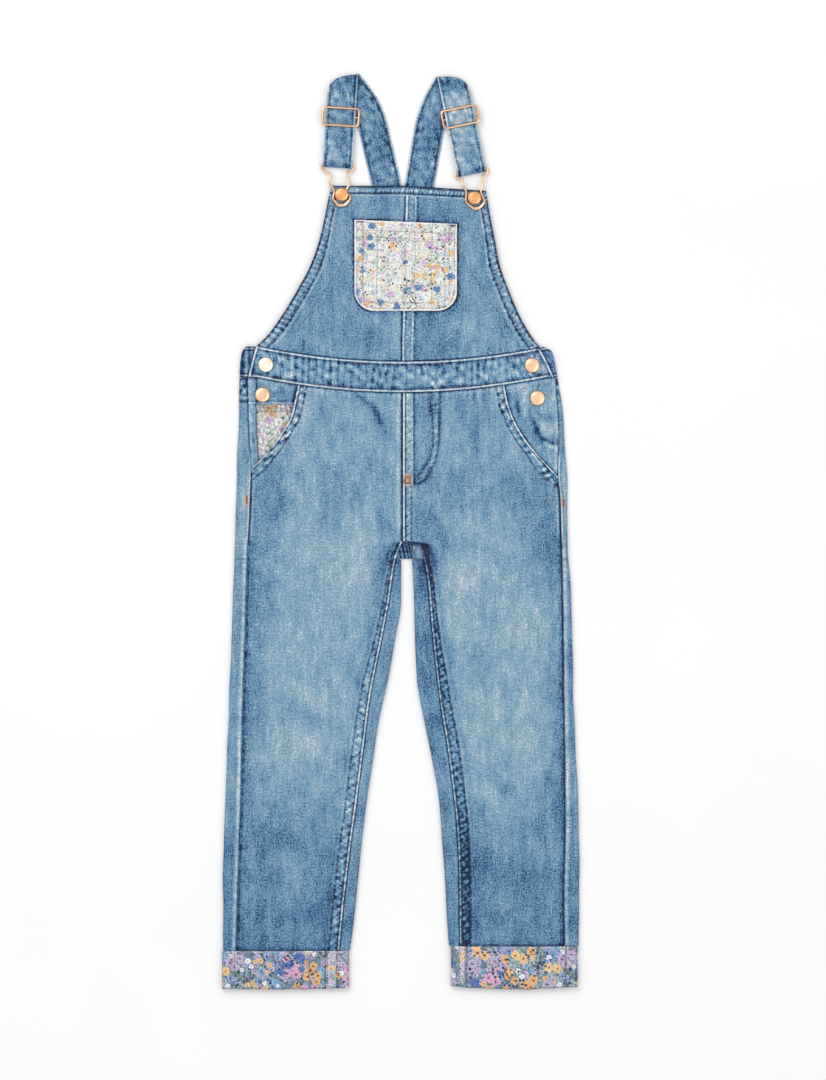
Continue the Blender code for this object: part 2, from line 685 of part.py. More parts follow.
Cuff = namedtuple("Cuff", "name left right top bottom_side bottom_middle")
CUFFS = (
    Cuff("cuff_left", -177.8, -51.0, HEM_LEFT - 0.6, -455.5, -456.3),
    Cuff("cuff_right", 51.0, 177.6, HEM_RIGHT - 0.6, -453.5, -456.0),
)
CUFF_ROWS = (0.0, 0.06, 0.5, 0.94, 1.0)
CUFF_EDGE_DROP = 0.8  # how much lower a turn-up is at its two edges


def build_cuff(cuff):
    def place(x, share):
        middle = 1 - min(abs(2 * (x - cuff.left) / (cuff.right - cuff.left) - 1), 1.0) ** 2
        bottom = cuff.bottom_side + (cuff.bottom_middle - cuff.bottom_side) * middle
        return cuff.top + (bottom - cuff.top) * share

    outer_rings = []
    inner_rings = []
    for share in CUFF_ROWS:
        height = CUFF_HEIGHT - (CUFF_EDGE_DROP if share in (0.0, 1.0) else 0.0)
        outer = cuff_ring(cuff.left, cuff.right, height, CUFF_ROUND, 0.0)
        inner = cuff_ring(cuff.left, cuff.right, height, CUFF_ROUND, CUFF_WALL)
        outer_rings.append([(x, place(x, share), z) for x, z in outer])
        inner_rings.append([(x, place(x, share), z) for x, z in inner])
    ring_wall(cuff.name, outer_rings, inner_rings, "floral")


# ---- straps ------------------------------------------------------------------------------
# The front run climbs from the hook to the shoulder roll, which lies askew, so the back run
# leaves it at an angle and eases round towards the middle of the back.
Strap = namedtuple("Strap", "side foot top roll_tilt back_start back_end bend_length")
STRAPS = (
    Strap("left", (-62.3, 367.2), (-57.0, 450.2), 18.2, 37.0, 10.0, 56.0),
    Strap("right", (71.4, 360.6), (53.2, 449.6), 10.2, 29.0, 7.0, 56.0),
)
# Height of the middle of the strap's wall, going down the front run from the shoulder roll.
FRONT_HEIGHTS = ((12, 5.7), (20, 4.6), (25.5, 4.1))
BELOW_HEIGHTS = ((44.5, 4.1), (52, 4.4), (62, 4.7))
SLIDER_FROM_TOP = 35.0
TAIL_HEIGHTS = ((SLIDER_FROM_TOP + 1.5, 2.45), (48, 2.45), (54, 2.45), (62, 0.7), (72, 0.7))
STRAP_COLUMNS = (-0.5, -0.17, 0.17, 0.5)
ROLL_SPARE = 0.1  # radians by which the rows over the roll allow for its lean
ROLL_LEAD = 2.0
ROLL_REACH = 7.8  # most that those rows start below the roll's middle
ROLL_STEP = 2.2
BEND_STEP = 7.0
RUN_STEP = 16.0


def strap_frame(strap):
    """Plan direction up the front run, and across it to the right."""
    run = np.array(strap.top, float) - np.array(strap.foot, float)
    length = float(np.hypot(*run))
    up = run / length
    return up, np.array((up[1], -up[0])), length


def slider_weave(distance):
    """Height of the strap through the slider: under a bar, over the middle one, under the last."""
    swing = WIRE + 0.3 + STRAP_WALL / 2
    return SLIDER_Z + swing * math.cos(math.pi * distance / SLIDER_HALF[1])


def build_strap(strap):
    sign = -1 if strap.side == "left" else 1
    up, across, length = strap_frame(strap)
    top = np.array(strap.top, float)
    tilt = math.radians(strap.roll_tilt)
    axis = np.array((math.cos(tilt), -sign * math.sin(tilt)))
    outward = np.array((-axis[1], axis[0]))
    roll_z = STRAP_WALL / 2 + ROLL_RADIUS

    def rolled(plan):
        """A point of the unrolled strap, wrapped over the roll if it lies beyond it."""
        away = plan - top
        along_axis = float(away @ axis)
        beyond = float(away @ outward)
        arc = math.pi * ROLL_RADIUS
        if beyond <= 0:
            return None
        if beyond < arc:
            angle = beyond / ROLL_RADIUS
            flat = top + axis * along_axis + outward * ROLL_RADIUS * math.sin(angle)
            return (flat[0], flat[1], roll_z + ROLL_RADIUS * math.cos(angle))
        flat = top + axis * along_axis - outward * (beyond - arc)
        return (flat[0], flat[1], STRAP_WALL / 2)

    rows = []
    # Tail, from under the slider's middle bar back down to the hook's bar.
    tail = [pair for pair in TAIL_HEIGHTS if pair[0] < length - 1]
    for distance, height in (*tail, (length, TAIL_HEIGHTS[-1][1])):
        centre = top - up * distance
        rows.append([(*(centre + across * STRAP_WIDTH * part), height) for part in STRAP_COLUMNS])
    for step in range(1, 6):
        angle = math.pi * step / 6
        centre = top - up * (length + WRAP * math.sin(angle))
        height = HOOK_BAR_Z - WRAP * math.cos(angle)
        rows.append([(*(centre + across * STRAP_WIDTH * part), height) for part in STRAP_COLUMNS])
    front = [(length, HOOK_BAR_Z + WRAP)]
    front += [pair for pair in reversed(BELOW_HEIGHTS) if pair[0] <= length]
    for step in range(1, 8):
        distance = SLIDER_HALF[1] * (1 - step / 4)
        front.append((SLIDER_FROM_TOP + distance, slider_weave(distance)))
    front += reversed(FRONT_HEIGHTS)
    for distance, height in front:
        centre = top - up * distance
        rows.append([(*(centre + across * STRAP_WIDTH * part), height) for part in STRAP_COLUMNS])
    # Over the roll and down the back, as points of the unrolled strip.
    half_skew = 0.5 * STRAP_WIDTH * math.tan(tilt + ROLL_SPARE)
    rib = max(-half_skew - ROLL_LEAD, -ROLL_REACH)
    while rib < math.pi * ROLL_RADIUS + half_skew + ROLL_STEP:
        centre = top + up * rib
        row = []
        for part in STRAP_COLUMNS:
            plan = centre + across * STRAP_WIDTH * part
            row.append(rolled(plan) or (plan[0], plan[1], roll_z + ROLL_RADIUS))
        rows.append(row)
        rib += ROLL_STEP
    heading = math.atan2(up[1], up[0])
    turned = math.radians(strap.back_start - strap.back_end)
    target = BACK_BIB_HALF[0][0] + SEAM
    run = 0.0
    while True:
        step_length = BEND_STEP if run < strap.bend_length else RUN_STEP
        run += step_length
        angle = heading - sign * turned * ease(run / strap.bend_length)
        centre = centre + step_length * np.array((math.cos(angle), math.sin(angle)))
        side_way = np.array((math.sin(angle), -math.cos(angle)))
        row = [rolled(centre + side_way * STRAP_WIDTH * share) for share in STRAP_COLUMNS]
        if min(point[1] for point in row) < target:
            break
        rows.append(row)
    last = np.array(rows[-1])
    before = np.array(rows[-2])
    way = last - before
    end_row = []
    for point, step_way in zip(last, way):
        share = (target - point[1]) / step_way[1]
        end_row.append(tuple(point + step_way * share))
    rows.append(end_row)
    grid = np.array(rows, float)
    normal = normals_of(grid)
    wall("strap_" + strap.side, grid - normal * STRAP_WALL / 2, grid + normal * STRAP_WALL / 2, "denim")


# ---- metal -------------------------------------------------------------------------------
WIRE_SIDES = 6


def wire(name, path, closed, radius):
    """A round wire along the path's points, as a closed loop or with capped ends."""
    path = np.asarray(path, float)
    count = len(path)
    ahead = np.roll(path, -1, axis=0) - path
    ahead /= np.linalg.norm(ahead, axis=1, keepdims=True)
    points = []
    for i in range(count):
        before = ahead[i - 1] if closed or i > 0 else ahead[i]
        after = ahead[i] if closed or i < count - 1 else ahead[i - 1]
        way = (before + after) / np.linalg.norm(before + after)
        flat = np.cross(way, (0.0, 0.0, 1.0))
        flat /= np.linalg.norm(flat)
        upright = np.cross(flat, way)
        for step in range(WIRE_SIDES):
            angle = 2 * math.pi * (step + 0.5) / WIRE_SIDES
            points.append(path[i] + radius * (flat * math.cos(angle) + upright * math.sin(angle)))
    faces = []
    for i in range(count if closed else count - 1):
        for step in range(WIRE_SIDES):
            a = i * WIRE_SIDES
            b = (i + 1) % count * WIRE_SIDES
            after = (step + 1) % WIRE_SIDES
            faces.append((a + step, a + after, b + after, b + step))
    if not closed:
        faces.append(tuple(range(WIRE_SIDES)))
        faces.append(tuple(range((count - 1) * WIRE_SIDES, count * WIRE_SIDES)))
    return add_object(name, points, faces, "gold", smooth=True)


def rounded(corners, radius, steps=2):
    """A closed path with each corner cut to a short curve."""
    corners = [np.asarray(corner, float) for corner in corners]
    path = []
    for i, corner in enumerate(corners):
        before = corners[i - 1] - corner
        after = corners[(i + 1) % len(corners)] - corner
        reach = min(radius, 0.45 * np.linalg.norm(before), 0.45 * np.linalg.norm(after))
        start = corner + before / np.linalg.norm(before) * reach
        end = corner + after / np.linalg.norm(after) * reach
        for step in range(steps + 1):
            part = step / steps
            path.append((1 - part) ** 2 * start + 2 * part * (1 - part) * corner + part ** 2 * end)
    return path


def build_slider(strap):
    """A frame with a middle bar united to it, through which the strap is woven."""
    up, across, _ = strap_frame(strap)
    centre = np.array(strap.top, float) - up * SLIDER_FROM_TOP
    half_width, half_height = SLIDER_HALF
    corners = []
    for u, v in ((-1, -1), (1, -1), (1, 1), (-1, 1)):
        plan = centre + across * half_width * u + up * half_height * v
        corners.append((*plan, SLIDER_Z))
    frame = wire("slider_" + strap.side, rounded(corners, 3.0), True, WIRE)
    ends = [(*(centre + across * half_width * u), SLIDER_Z) for u in (-1, 1)]
    bar = wire("middle_bar_" + strap.side, ends, False, WIRE * 0.9)
    bar.hide_render = True
    bar.display_type = "WIRE"
    union = frame.modifiers.new("middle_bar", "BOOLEAN")
    union.operation = "UNION"
    union.object = bar


# A hook is one wire: its bar, held in the strap's fold, closes the loop that starts and ends here.
HookPoint = namedtuple("HookPoint", "x y z")
HOOK_BAR_HALF = 17.5
HOOKS = {
    "left": (
        HookPoint(-77.0, 361.5, 3.3), HookPoint(-69.5, 359.5, 4.2), HookPoint(-69.5, 354.0, 5.0),
        HookPoint(-71.2, 349.2, 5.8), HookPoint(-65.0, 341.4, HOOK_Z), HookPoint(-67.4, 333.7, HOOK_Z),
        HookPoint(-61.5, 325.7, HOOK_Z), HookPoint(-54.0, 326.9, HOOK_Z), HookPoint(-48.8, 334.9, HOOK_Z),
        HookPoint(-54.4, 341.4, HOOK_Z), HookPoint(-50.0, 348.2, 5.8), HookPoint(-53.8, 359.5, 4.2),
        HookPoint(-48.5, 361.0, 3.3),
    ),
    "right": (
        HookPoint(57.0, 353.8, 3.3), HookPoint(62.5, 352.5, 4.2), HookPoint(62.5, 347.0, 5.5),
        HookPoint(66.5, 340.1, HOOK_Z), HookPoint(65.4, 330.3, HOOK_Z), HookPoint(74.0, 322.3, HOOK_Z),
        HookPoint(80.3, 324.0, HOOK_Z), HookPoint(85.0, 330.3, HOOK_Z), HookPoint(80.3, 340.1, HOOK_Z),
        HookPoint(82.6, 345.8, 5.7), HookPoint(81.5, 355.5, 4.2), HookPoint(87.0, 358.0, 3.3),
    ),
}


def build_hook(strap):
    _, across, _ = strap_frame(strap)
    foot = np.array(strap.foot, float)
    bar_left = (*(foot - across * HOOK_BAR_HALF), HOOK_BAR_Z)
    bar_right = (*(foot + across * HOOK_BAR_HALF), HOOK_BAR_Z)
    wire("hook_" + strap.side, rounded((bar_left, *HOOKS[strap.side], bar_right), 2.6), True, WIRE)


def turned(name, centre, base_z, profile, segments=18):
    """A button turned from (radius, height) pairs, from its lowest point to its top."""
    x, y = centre
    points = [(x, y, base_z + profile[0][1])]
    faces = []
    rings = profile[1:-1]
    for radius, height in rings:
        for step in range(segments):
            angle = 2 * math.pi * step / segments
            points.append((x + radius * math.cos(angle), y + radius * math.sin(angle), base_z + height))
    points.append((x, y, base_z + profile[-1][1]))
    top = len(points) - 1
    for step in range(segments):
        after = (step + 1) % segments
        faces.append((0, 1 + after, 1 + step))
        for ring in range(len(rings) - 1):
            a = 1 + ring * segments
            faces.append((a + step, a + after, a + segments + after, a + segments + step))
        last = 1 + (len(rings) - 1) * segments
        faces.append((last + step, last + after, top))
    return add_object(name, points, faces, "gold", smooth=True)


BIB_BUTTON = ((0, 0.0), (2.6, 0.0), (2.6, 2.4), (6.0, 2.4), (6.8, 3.0), (6.7, 3.7), (5.6, 4.4), (0, 4.6))
WAIST_BUTTON = ((0, 0.0), (4.2, 0.0), (4.2, 0.5), (6.8, 0.5), (7.5, 1.1), (7.3, 1.9), (6.1, 2.4), (0, 2.1))
BIB_BUTTON_BASE = BIB_UNDER + WALL + HEM_RAISE + 0.4
BAND_TOP = WAIST_UNDER + BAND_WALL + BAND_CROWN + LAYER_GAP
BAG_TOP = FRONT_UNDER + THIN_WALL + LAYER_GAP
Button = namedtuple("Button", "name x y base profile")
BUTTONS = (
    Button("bib_button_left", -58.1, 337.4, BIB_BUTTON_BASE, BIB_BUTTON),
    Button("bib_button_right", 74.4, 334.1, BIB_BUTTON_BASE, BIB_BUTTON),
    Button("waist_button_upper_left", -134.0, 167.5, BAND_TOP, WAIST_BUTTON),
    Button("waist_button_upper_right", 132.0, 166.9, BAND_TOP, WAIST_BUTTON),
    Button("waist_button_lower_left", -137.3, 137.5, BAG_TOP + WALL + LAYER_GAP, WAIST_BUTTON),
    Button("waist_button_lower_right", 137.4, 134.2, FRONT_UNDER + WALL + LAYER_GAP, WAIST_BUTTON),
)

COLOURS = {
    "denim": lambda name: material(name, (0.20, 0.36, 0.56), 0.9),
    "seam": lambda name: material(name, (0.06, 0.11, 0.22), 0.9),
    "floral": lambda name: material(name, (0.72, 0.68, 0.70), 0.85),
    "gold": lambda name: material(name, (0.83, 0.52, 0.36), 0.3, 1.0),
}


def main():
    for item in list(bpy.data.objects):
        bpy.data.objects.remove(item)
    back_leg("back_leg_left", -1)
    back_leg("back_leg_right", 1)
    build_back_waist()
    build_crotch_band()
    front_leg("front_leg_left", -1)
    front_leg("front_leg_right", 1)
    build_hips()
    build_waistband()
    build_bib()
    build_bib_pocket()
    for cuff in CUFFS:
        build_cuff(cuff)
    for strap in STRAPS:
        build_strap(strap)
        build_slider(strap)
        build_hook(strap)
    for button in BUTTONS:
        turned(button.name, (button.x, button.y), button.base, button.profile)


main()
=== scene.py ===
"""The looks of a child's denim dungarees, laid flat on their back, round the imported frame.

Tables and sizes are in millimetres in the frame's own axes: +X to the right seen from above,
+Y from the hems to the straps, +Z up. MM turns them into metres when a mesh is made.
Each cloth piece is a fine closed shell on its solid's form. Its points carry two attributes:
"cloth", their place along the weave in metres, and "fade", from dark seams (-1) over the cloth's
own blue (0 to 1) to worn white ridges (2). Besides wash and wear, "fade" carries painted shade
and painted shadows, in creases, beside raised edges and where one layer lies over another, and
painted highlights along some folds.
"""
import json
import math
from collections import namedtuple

import bmesh
import bpy
import numpy as np
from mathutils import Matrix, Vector
from mathutils.bvhtree import BVHTree


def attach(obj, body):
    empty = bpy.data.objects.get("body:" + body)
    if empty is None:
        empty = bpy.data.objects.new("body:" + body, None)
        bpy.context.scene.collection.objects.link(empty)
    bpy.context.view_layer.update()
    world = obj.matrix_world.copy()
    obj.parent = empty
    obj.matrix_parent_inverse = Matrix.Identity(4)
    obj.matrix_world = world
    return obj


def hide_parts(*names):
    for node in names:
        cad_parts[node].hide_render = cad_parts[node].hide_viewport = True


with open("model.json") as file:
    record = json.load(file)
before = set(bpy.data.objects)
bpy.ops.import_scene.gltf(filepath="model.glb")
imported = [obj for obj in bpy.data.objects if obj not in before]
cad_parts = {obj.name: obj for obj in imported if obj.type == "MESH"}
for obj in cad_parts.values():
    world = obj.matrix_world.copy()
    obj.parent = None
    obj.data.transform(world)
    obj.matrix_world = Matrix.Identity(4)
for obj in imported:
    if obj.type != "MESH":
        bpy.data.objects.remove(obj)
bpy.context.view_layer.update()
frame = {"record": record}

MM = 0.001

# ---- cloth and layer heights, as in the frame ----------------------------------------------
WALL = 1.3  # denim
THIN_WALL = 1.0  # printed cotton
BAND_WALL = 2.2
HEM_RAISE = 0.9  # how far a hem or felled seam stands above its cloth
BAND_CROWN = 0.5
SEAM = 0.4  # the gap between two pieces that are sewn together
LAYER_GAP = 0.35  # the gap between two layers that lie on each other
UNDERLAP = 6.0  # how far a back panel's flap runs under the front
FLAP_TOP = 3.0
FRONT_UNDER = 3.35  # underside of the fronts at their seams, and at a leg's middle
LEG_UNDER = 4.5
BIB_UNDER = 2.3
BIB_CROWN = 0.5
WAIST_UNDER = 3.3
POCKET_LIFT = 1.45  # how far the pocket's layers raise a front leg
BACK_BAND_RADIUS = 2.4
BACK_BAND_WALL = 1.8

# ---- waist, bib, pockets and hems ----------------------------------------------------------
WAIST_TOP = 171.0  # the waistband's edges at its middle
WAIST_BOTTOM = 139.8
WAIST_RISE = 15.0  # how much higher they lie at its ends
WAIST_HALF = 144.0
WAIST_MIDDLE = 2.0
WAIST_ENDS = {-1: (-144.2, -151.8), 1: (139.5, 153.8)}  # x at an end's upper and lower corner
SLANT_HEIGHT = 30.0
YOKE_BOTTOM = 130.0
CENTRE_BACK = 4.0
CROTCH_FOLD = -26.3
CROTCH_SIDES = (-2.8, 12.8)
SEAT_BOTTOM = -11.0
HEM_LEFT = -417.6
HEM_RIGHT = -413.0
FLY_END = -9.0

# ---- outlines: (y, x) ----------------------------------------------------------------------
LEFT_FOLD = ((186, -154), (180, -158), (168, -160), (128, -161), (92, -162), (62, -162.8),
             (-8, -165), (-68, -167), (-148, -170), (-228, -173), (-308, -176), (-348, -177),
             (-420, -176.6))
RIGHT_FOLD = ((186, 143), (180, 152), (168, 155), (144, 159), (120, 163), (92, 164.5), (52, 167),
              (-8, 167.5), (-68, 171), (-148, 173), (-228, 176), (-268, 178), (-328, 179), (-420, 178.5))
LEFT_SIDE = ((156, -152.6), (100, -151), (64, -149), (32, -150), (-15, -152), (-106, -154.6),
             (-162, -156.7), (-282, -159.3), (-332, -161), (-420, -163.8))
RIGHT_SIDE = ((158, 153.8), (122, 157.6), (92, 158.4), (60, 158), (32, 160.2), (-14, 161.4),
              (-92, 162.8), (-162, 163.5), (-290, 165), (-356, 163.5), (-420, 164.3))
LEFT_INSEAM = ((140, 2.4), (-8, 2.4), (-17, -1), (-27, -4.5), (-70, -11.4), (-105, -18), (-134, -24),
               (-166, -30), (-216, -36.6), (-274, -44), (-310, -49), (-365, -55.7), (-420, -61))
RIGHT_INSEAM = ((140, 2.8), (-8, 2.8), (-12, 18), (-27, 24), (-50, 28), (-91, 31.6), (-126, 35),
                (-168, 40), (-214, 47.5), (-257, 53), (-298, 57.3), (-340, 59), (-420, 59.8))
LEFT_INNER = ((-27, 1), (-67, 1), (-107, -5), (-147, -12), (-187, -21), (-227, -27), (-267, -33),
              (-307, -38), (-347, -42), (-387, -46), (-420, -50.5))
RIGHT_INNER = ((-27, 12), (-67, 14), (-107, 15), (-147, 17), (-167, 20), (-187, 24), (-227, 32),
               (-267, 39), (-307, 42), (-347, 45), (-387, 47), (-420, 49.5))
INSEAM_BAND = ((140, 0.5), (-8, 4.5), (-70, 6), (-110, 7.5), (-150, 10), (-216, 11.2), (-420, 10.8))
FLY_BAND = 9.5
LEFT_MOUTH = ((150, -101.1), (129, -105.7), (115.5, -109.1), (99.5, -118.3), (83, -129.8), (63.5, -148.8))
RIGHT_MOUTH = ((150, 103.9), (129, 107.9), (113, 113.7), (94.5, 124), (77.5, 137.8), (56, 157.8))
MOUTH_BAND = ((150, 9), (115, 9.5), (83, 11), (75, 12), (62, 15.5), (30, 15.5))
MOUTH_RUN_ON = 1.3  # sideways run of the mouth hem below the mouth, for each millimetre down
Outline = namedtuple("Outline", "side inseam mouth hem fold inner")
OUTLINES = {  # side -1 is the left and 1 the right
    -1: Outline(LEFT_SIDE, LEFT_INSEAM, LEFT_MOUTH, HEM_LEFT, LEFT_FOLD, LEFT_INNER),
    1: Outline(RIGHT_SIDE, RIGHT_INSEAM, RIGHT_MOUTH, HEM_RIGHT, RIGHT_FOLD, RIGHT_INNER),
}

# ---- creases: from (x0, y0) to (x1, y1), half width and depth (a ridge is below 0)
Crease = namedtuple("Crease", "x0 y0 x1 y1 width depth")


def creases(*rows):
    return tuple(Crease(*row) for row in rows)


FRONT_CREASES = creases(
    (-30, 128, -6, 84, 8, 0.5), (-46, 132, -16, 70, 9, -0.7), (-14, 60, -24, -60, 9, 0.8),
    (-30, 50, -44, -90, 14, -0.6), (22, 24, 74, -44, 12, 0.7), (34, 40, 96, -20, 14, -0.5),
    (72, -228, 118, -266, 9, 1.0), (66, -246, 104, -280, 9, -0.7), (58, -328, 142, -352, 13, 0.7),
    (60, -350, 130, -372, 12, -0.6), (-128, -168, -66, -202, 13, 0.8), (-124, -190, -60, -222, 12, -0.6),
    (-152, -298, -78, -324, 13, 0.7), (-150, -322, -80, -344, 12, -0.5), (-58, -370, -132, -388, 10, 0.7),
    (102, 62, 144, 18, 10, 0.7), (-98, 42, -142, 2, 10, 0.7), (-88, 30, -128, -14, 10, -0.5),
    (90, 128, 62, 60, 8, 0.6), (-74, 130, -92, 80, 8, 0.6), (44, -60, 120, -92, 16, 0.6),
    (-40, -120, -96, -150, 16, 0.6), (74, -140, 132, -170, 15, 0.6),
)
# Sharper pulls that start under the waistband. On the front legs they are also painted as dark lines of
# shade, with a painted highlight beside them.
PULLS = creases(
    (-50, 141, -24, 125, 2.2, 0.8), (-31, 133, -12, 100, 3.4, 0.8), (26, 138, 34, 112, 2.6, 0.4),
    (-82, 142, -76, 116, 2.6, 0.4), (72, 142, 80, 120, 2.6, 0.4),
)


# ---- numbers ---------------------------------------------------------------------------------
def ease(value):
    value = np.clip(value, 0.0, 1.0)
    return value * value * (3 - 2 * value)


def bell(value, width):
    return np.exp(-(value / width) ** 2)


def bells(value, *terms):
    """A sum of bells along a distance, each with its amount, middle and width."""
    return sum(amount * bell(value - middle, width) for amount, middle, width in terms)


def run_along(points):
    """The distance run at each point of a line, from 0 at the first."""
    return np.concatenate(((0,), np.cumsum(np.linalg.norm(np.diff(points, axis=0), axis=1))))


def smooth(line, at):
    """The second column of a table at places along its first, on a smooth curve without overshoot."""
    table = np.array(sorted(line), float)
    x, y = table[:, 0], table[:, 1]
    step = np.diff(x)
    slope = np.diff(y) / step
    tangent = np.zeros_like(y)
    tangent[0], tangent[-1] = slope[0], slope[-1]
    before, after = slope[:-1], slope[1:]
    total = np.where(np.abs(before + after) < 1e-9, 1.0, before + after)
    tangent[1:-1] = np.where(before * after > 0, 2 * before * after / total, 0.0)
    at = np.clip(np.asarray(at, float), x[0], x[-1])
    i = np.clip(np.searchsorted(x, at) - 1, 0, len(step) - 1)
    t = (at - x[i]) / step[i]
    return ((1 + 2 * t) * (1 - t) ** 2 * y[i] + t * (1 - t) ** 2 * step[i] * tangent[i]
            + t * t * (3 - 2 * t) * y[i + 1] + t * t * (t - 1) * step[i] * tangent[i + 1])


def waves(x, y, size, seed):
    """Smooth uneven waves from about -1 to 1, of about the given size."""
    rng = np.random.default_rng(seed)
    total = 0.0
    for _ in range(6):
        angle, pitch, phase = rng.uniform((0, 0.7, 0), (2 * math.pi, 1.5, 2 * math.pi))
        along = x * math.cos(angle) + y * math.sin(angle)
        total = total + np.sin(2 * math.pi * pitch * along / size + phase)
    return total / 3


def puckers(along, pitch, seed):
    """Uneven gathers along a seam, from -1 to 1."""
    level = np.zeros_like(along)
    drift = waves(along, level, 5 * pitch, seed)
    strength = 0.65 + 0.35 * waves(along, level, 7 * pitch, seed + 1)
    return strength * np.sin(2 * math.pi * along / pitch + 2.5 * drift)


def edge_drop(distance, radius):
    """How far a folded edge rounds down, as a height below the cloth's face."""
    inside = np.clip(1 - distance / radius, 0.0, 1.0)
    return radius * (np.sqrt(1 - inside ** 2) - 1)


def band(distance, width, step=1.1):
    """1 within a hem of the given width, 0 past it."""
    return 1 - ease((distance - width) / step)


def waist_sag(x):
    return WAIST_RISE * np.minimum(np.abs(x - WAIST_MIDDLE) / WAIST_HALF, 1.0) ** 2


def waist_gap(x, y):
    """How far points lie above the waistband's lower edge."""
    return y - waist_sag(x) - WAIST_BOTTOM


def crease_depth(x, y, creases):
    total = np.zeros_like(np.asarray(x, float))
    for crease in creases:
        run_x, run_y = crease.x1 - crease.x0, crease.y1 - crease.y0
        length = math.hypot(run_x, run_y)
        part = ((x - crease.x0) * run_x + (y - crease.y0) * run_y) / length ** 2
        across = ((x - crease.x0) * run_y - (y - crease.y0) * run_x) / length
        across = across + 0.25 * crease.width * np.sin(6 * part + crease.x0)
        taper = ease(part / 0.35) * ease((1 - part) / 0.35)
        total += crease.depth * taper * bell(across, crease.width)
    return total


# ---- meshes ----------------------------------------------------------------------------------
def grid_faces(rows, columns, ring):
    """Quads of a grid of points, row after row; a ring's last column meets its first."""
    i, j = np.meshgrid(np.arange(rows - 1), np.arange(columns if ring else columns - 1), indexing="ij")
    near, far = i * columns, (i + 1) * columns
    after = (j + 1) % columns
    return np.stack((near + j, near + after, far + after, far + j), -1).reshape(-1, 4)


def rim_edges(rows, columns, ring):
    """Pairs of neighbouring points round a grid's rim, or round both ends of a ring."""
    last = (rows - 1) * columns
    if ring:
        edges = [(j, (j + 1) % columns) for j in range(columns)]
        return [(b, a) for a, b in edges] + [(a + last, b + last) for a, b in edges]
    rim = [*range(columns), *range(2 * columns - 1, last + columns, columns)]
    rim += [*range(last + columns - 2, last - 1, -1), *range(last - columns, 0, -columns)]
    return zip(rim, rim[1:] + rim[:1])


SHARP_ANGLE = 60  # degrees between two faces from which their edge stays sharp


def add_mesh(name, points, faces, material, attributes=None):
    """One object of closed shapes, with their faces turned outwards."""
    mesh = bpy.data.meshes.new(name)
    mesh.from_pydata((np.asarray(points, float) * MM).tolist(), [], [tuple(face) for face in faces])
    mesh.materials.append(material)
    for key, values in (attributes or {}).items():
        values = np.asarray(values, np.float32)
        vector = values.ndim == 2
        layer = mesh.attributes.new(key, "FLOAT_VECTOR" if vector else "FLOAT", "POINT")
        layer.data.foreach_set("vector" if vector else "value", values.ravel())
    mesh.shade_smooth()
    edit = bmesh.new()
    edit.from_mesh(mesh)
    bmesh.ops.recalc_face_normals(edit, faces=edit.faces)
    edit.to_mesh(mesh)
    edit.free()
    mesh.set_sharp_from_angle(angle=math.radians(SHARP_ANGLE))
    made = bpy.data.objects.new(name, mesh)
    bpy.context.scene.collection.objects.link(made)
    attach(made, "root")
    return made


def shell(name, over, under, cloth, fade, material, ring=False):
    """A closed wall between two grids of points. cloth holds metres along the weave."""
    rows, columns = over.shape[:2]
    half = rows * columns
    top = grid_faces(rows, columns, ring)
    sides = [(b, a, a + half, b + half) for a, b in rim_edges(rows, columns, ring)]
    faces = [*top.tolist(), *(top[:, ::-1] + half).tolist(), *sides]
    points = np.concatenate((over.reshape(-1, 3), under.reshape(-1, 3)))
    weave = np.column_stack((np.tile(cloth.reshape(-1, 2), (2, 1)), np.zeros(2 * half)))
    return add_mesh(name, points, faces, material, {"cloth": weave, "fade": np.tile(fade.ravel(), 2)})


def face_up(name, x, y, under, thickness, fade, material, weave_turned=False, print_start=(0.0, 0.0)):
    """A shell that lies face up, from grids of x, y, underside height, thickness and fade."""
    low = np.stack((x, y, under), -1)
    high = np.stack((x, y, under + thickness), -1)
    cloth = (np.stack((y, x) if weave_turned else (x, y), -1) + np.array(print_start)) * MM
    return shell(name, high, low, cloth, fade, material)


def steps_between(start, stop, size):
    return np.linspace(start, stop, max(int(abs(stop - start) / size) + 1, 2))


# Distances from an edge at which a shell has points, close together where the cloth turns.
NEAR_EDGE = np.array((0, 0.15, 0.45, 0.9, 1.4, 1.9, 2.4, 2.9, 3.5, 4.5, 5.8, 7.0, 7.9, 8.7, 9.5, 10.3,
                      11.4, 13.0))


def columns_between(width, middles, near=NEAR_EDGE):
    """Distances from the first edge, for each row's width, close together at both edges."""
    shares = np.linspace(0, 1, middles + 2)[1:-1]
    span = width - 2 * near[-1]
    first = np.tile(near, (len(width), 1))
    return np.concatenate((first, near[-1] + span[:, None] * shares, width[:, None] - near[::-1]), axis=1)


def edge_wear(distance, ridge=1.0, groove=2.5):
    """The wash of a turned edge: a worn pale ridge, and dark cloth in the groove of its stitching."""
    return bells(distance, (1.6, ridge, 0.72), (-1.3, groove, 0.85))


def edge_form(distance, groove=2.5):
    """The height of a turned edge: it rounds down at the end and sinks at its stitching."""
    return edge_drop(distance, 0.9) - 0.22 * bell(distance - groove, 0.9)


# ---- materials -------------------------------------------------------------------------------
def srgb(red, green, blue):
    """A colour given as it looks on a screen, 0 to 255, as linear light."""
    return tuple(((value / 255 + 0.055) / 1.055) ** 2.4 for value in (red, green, blue)) + (1.0,)


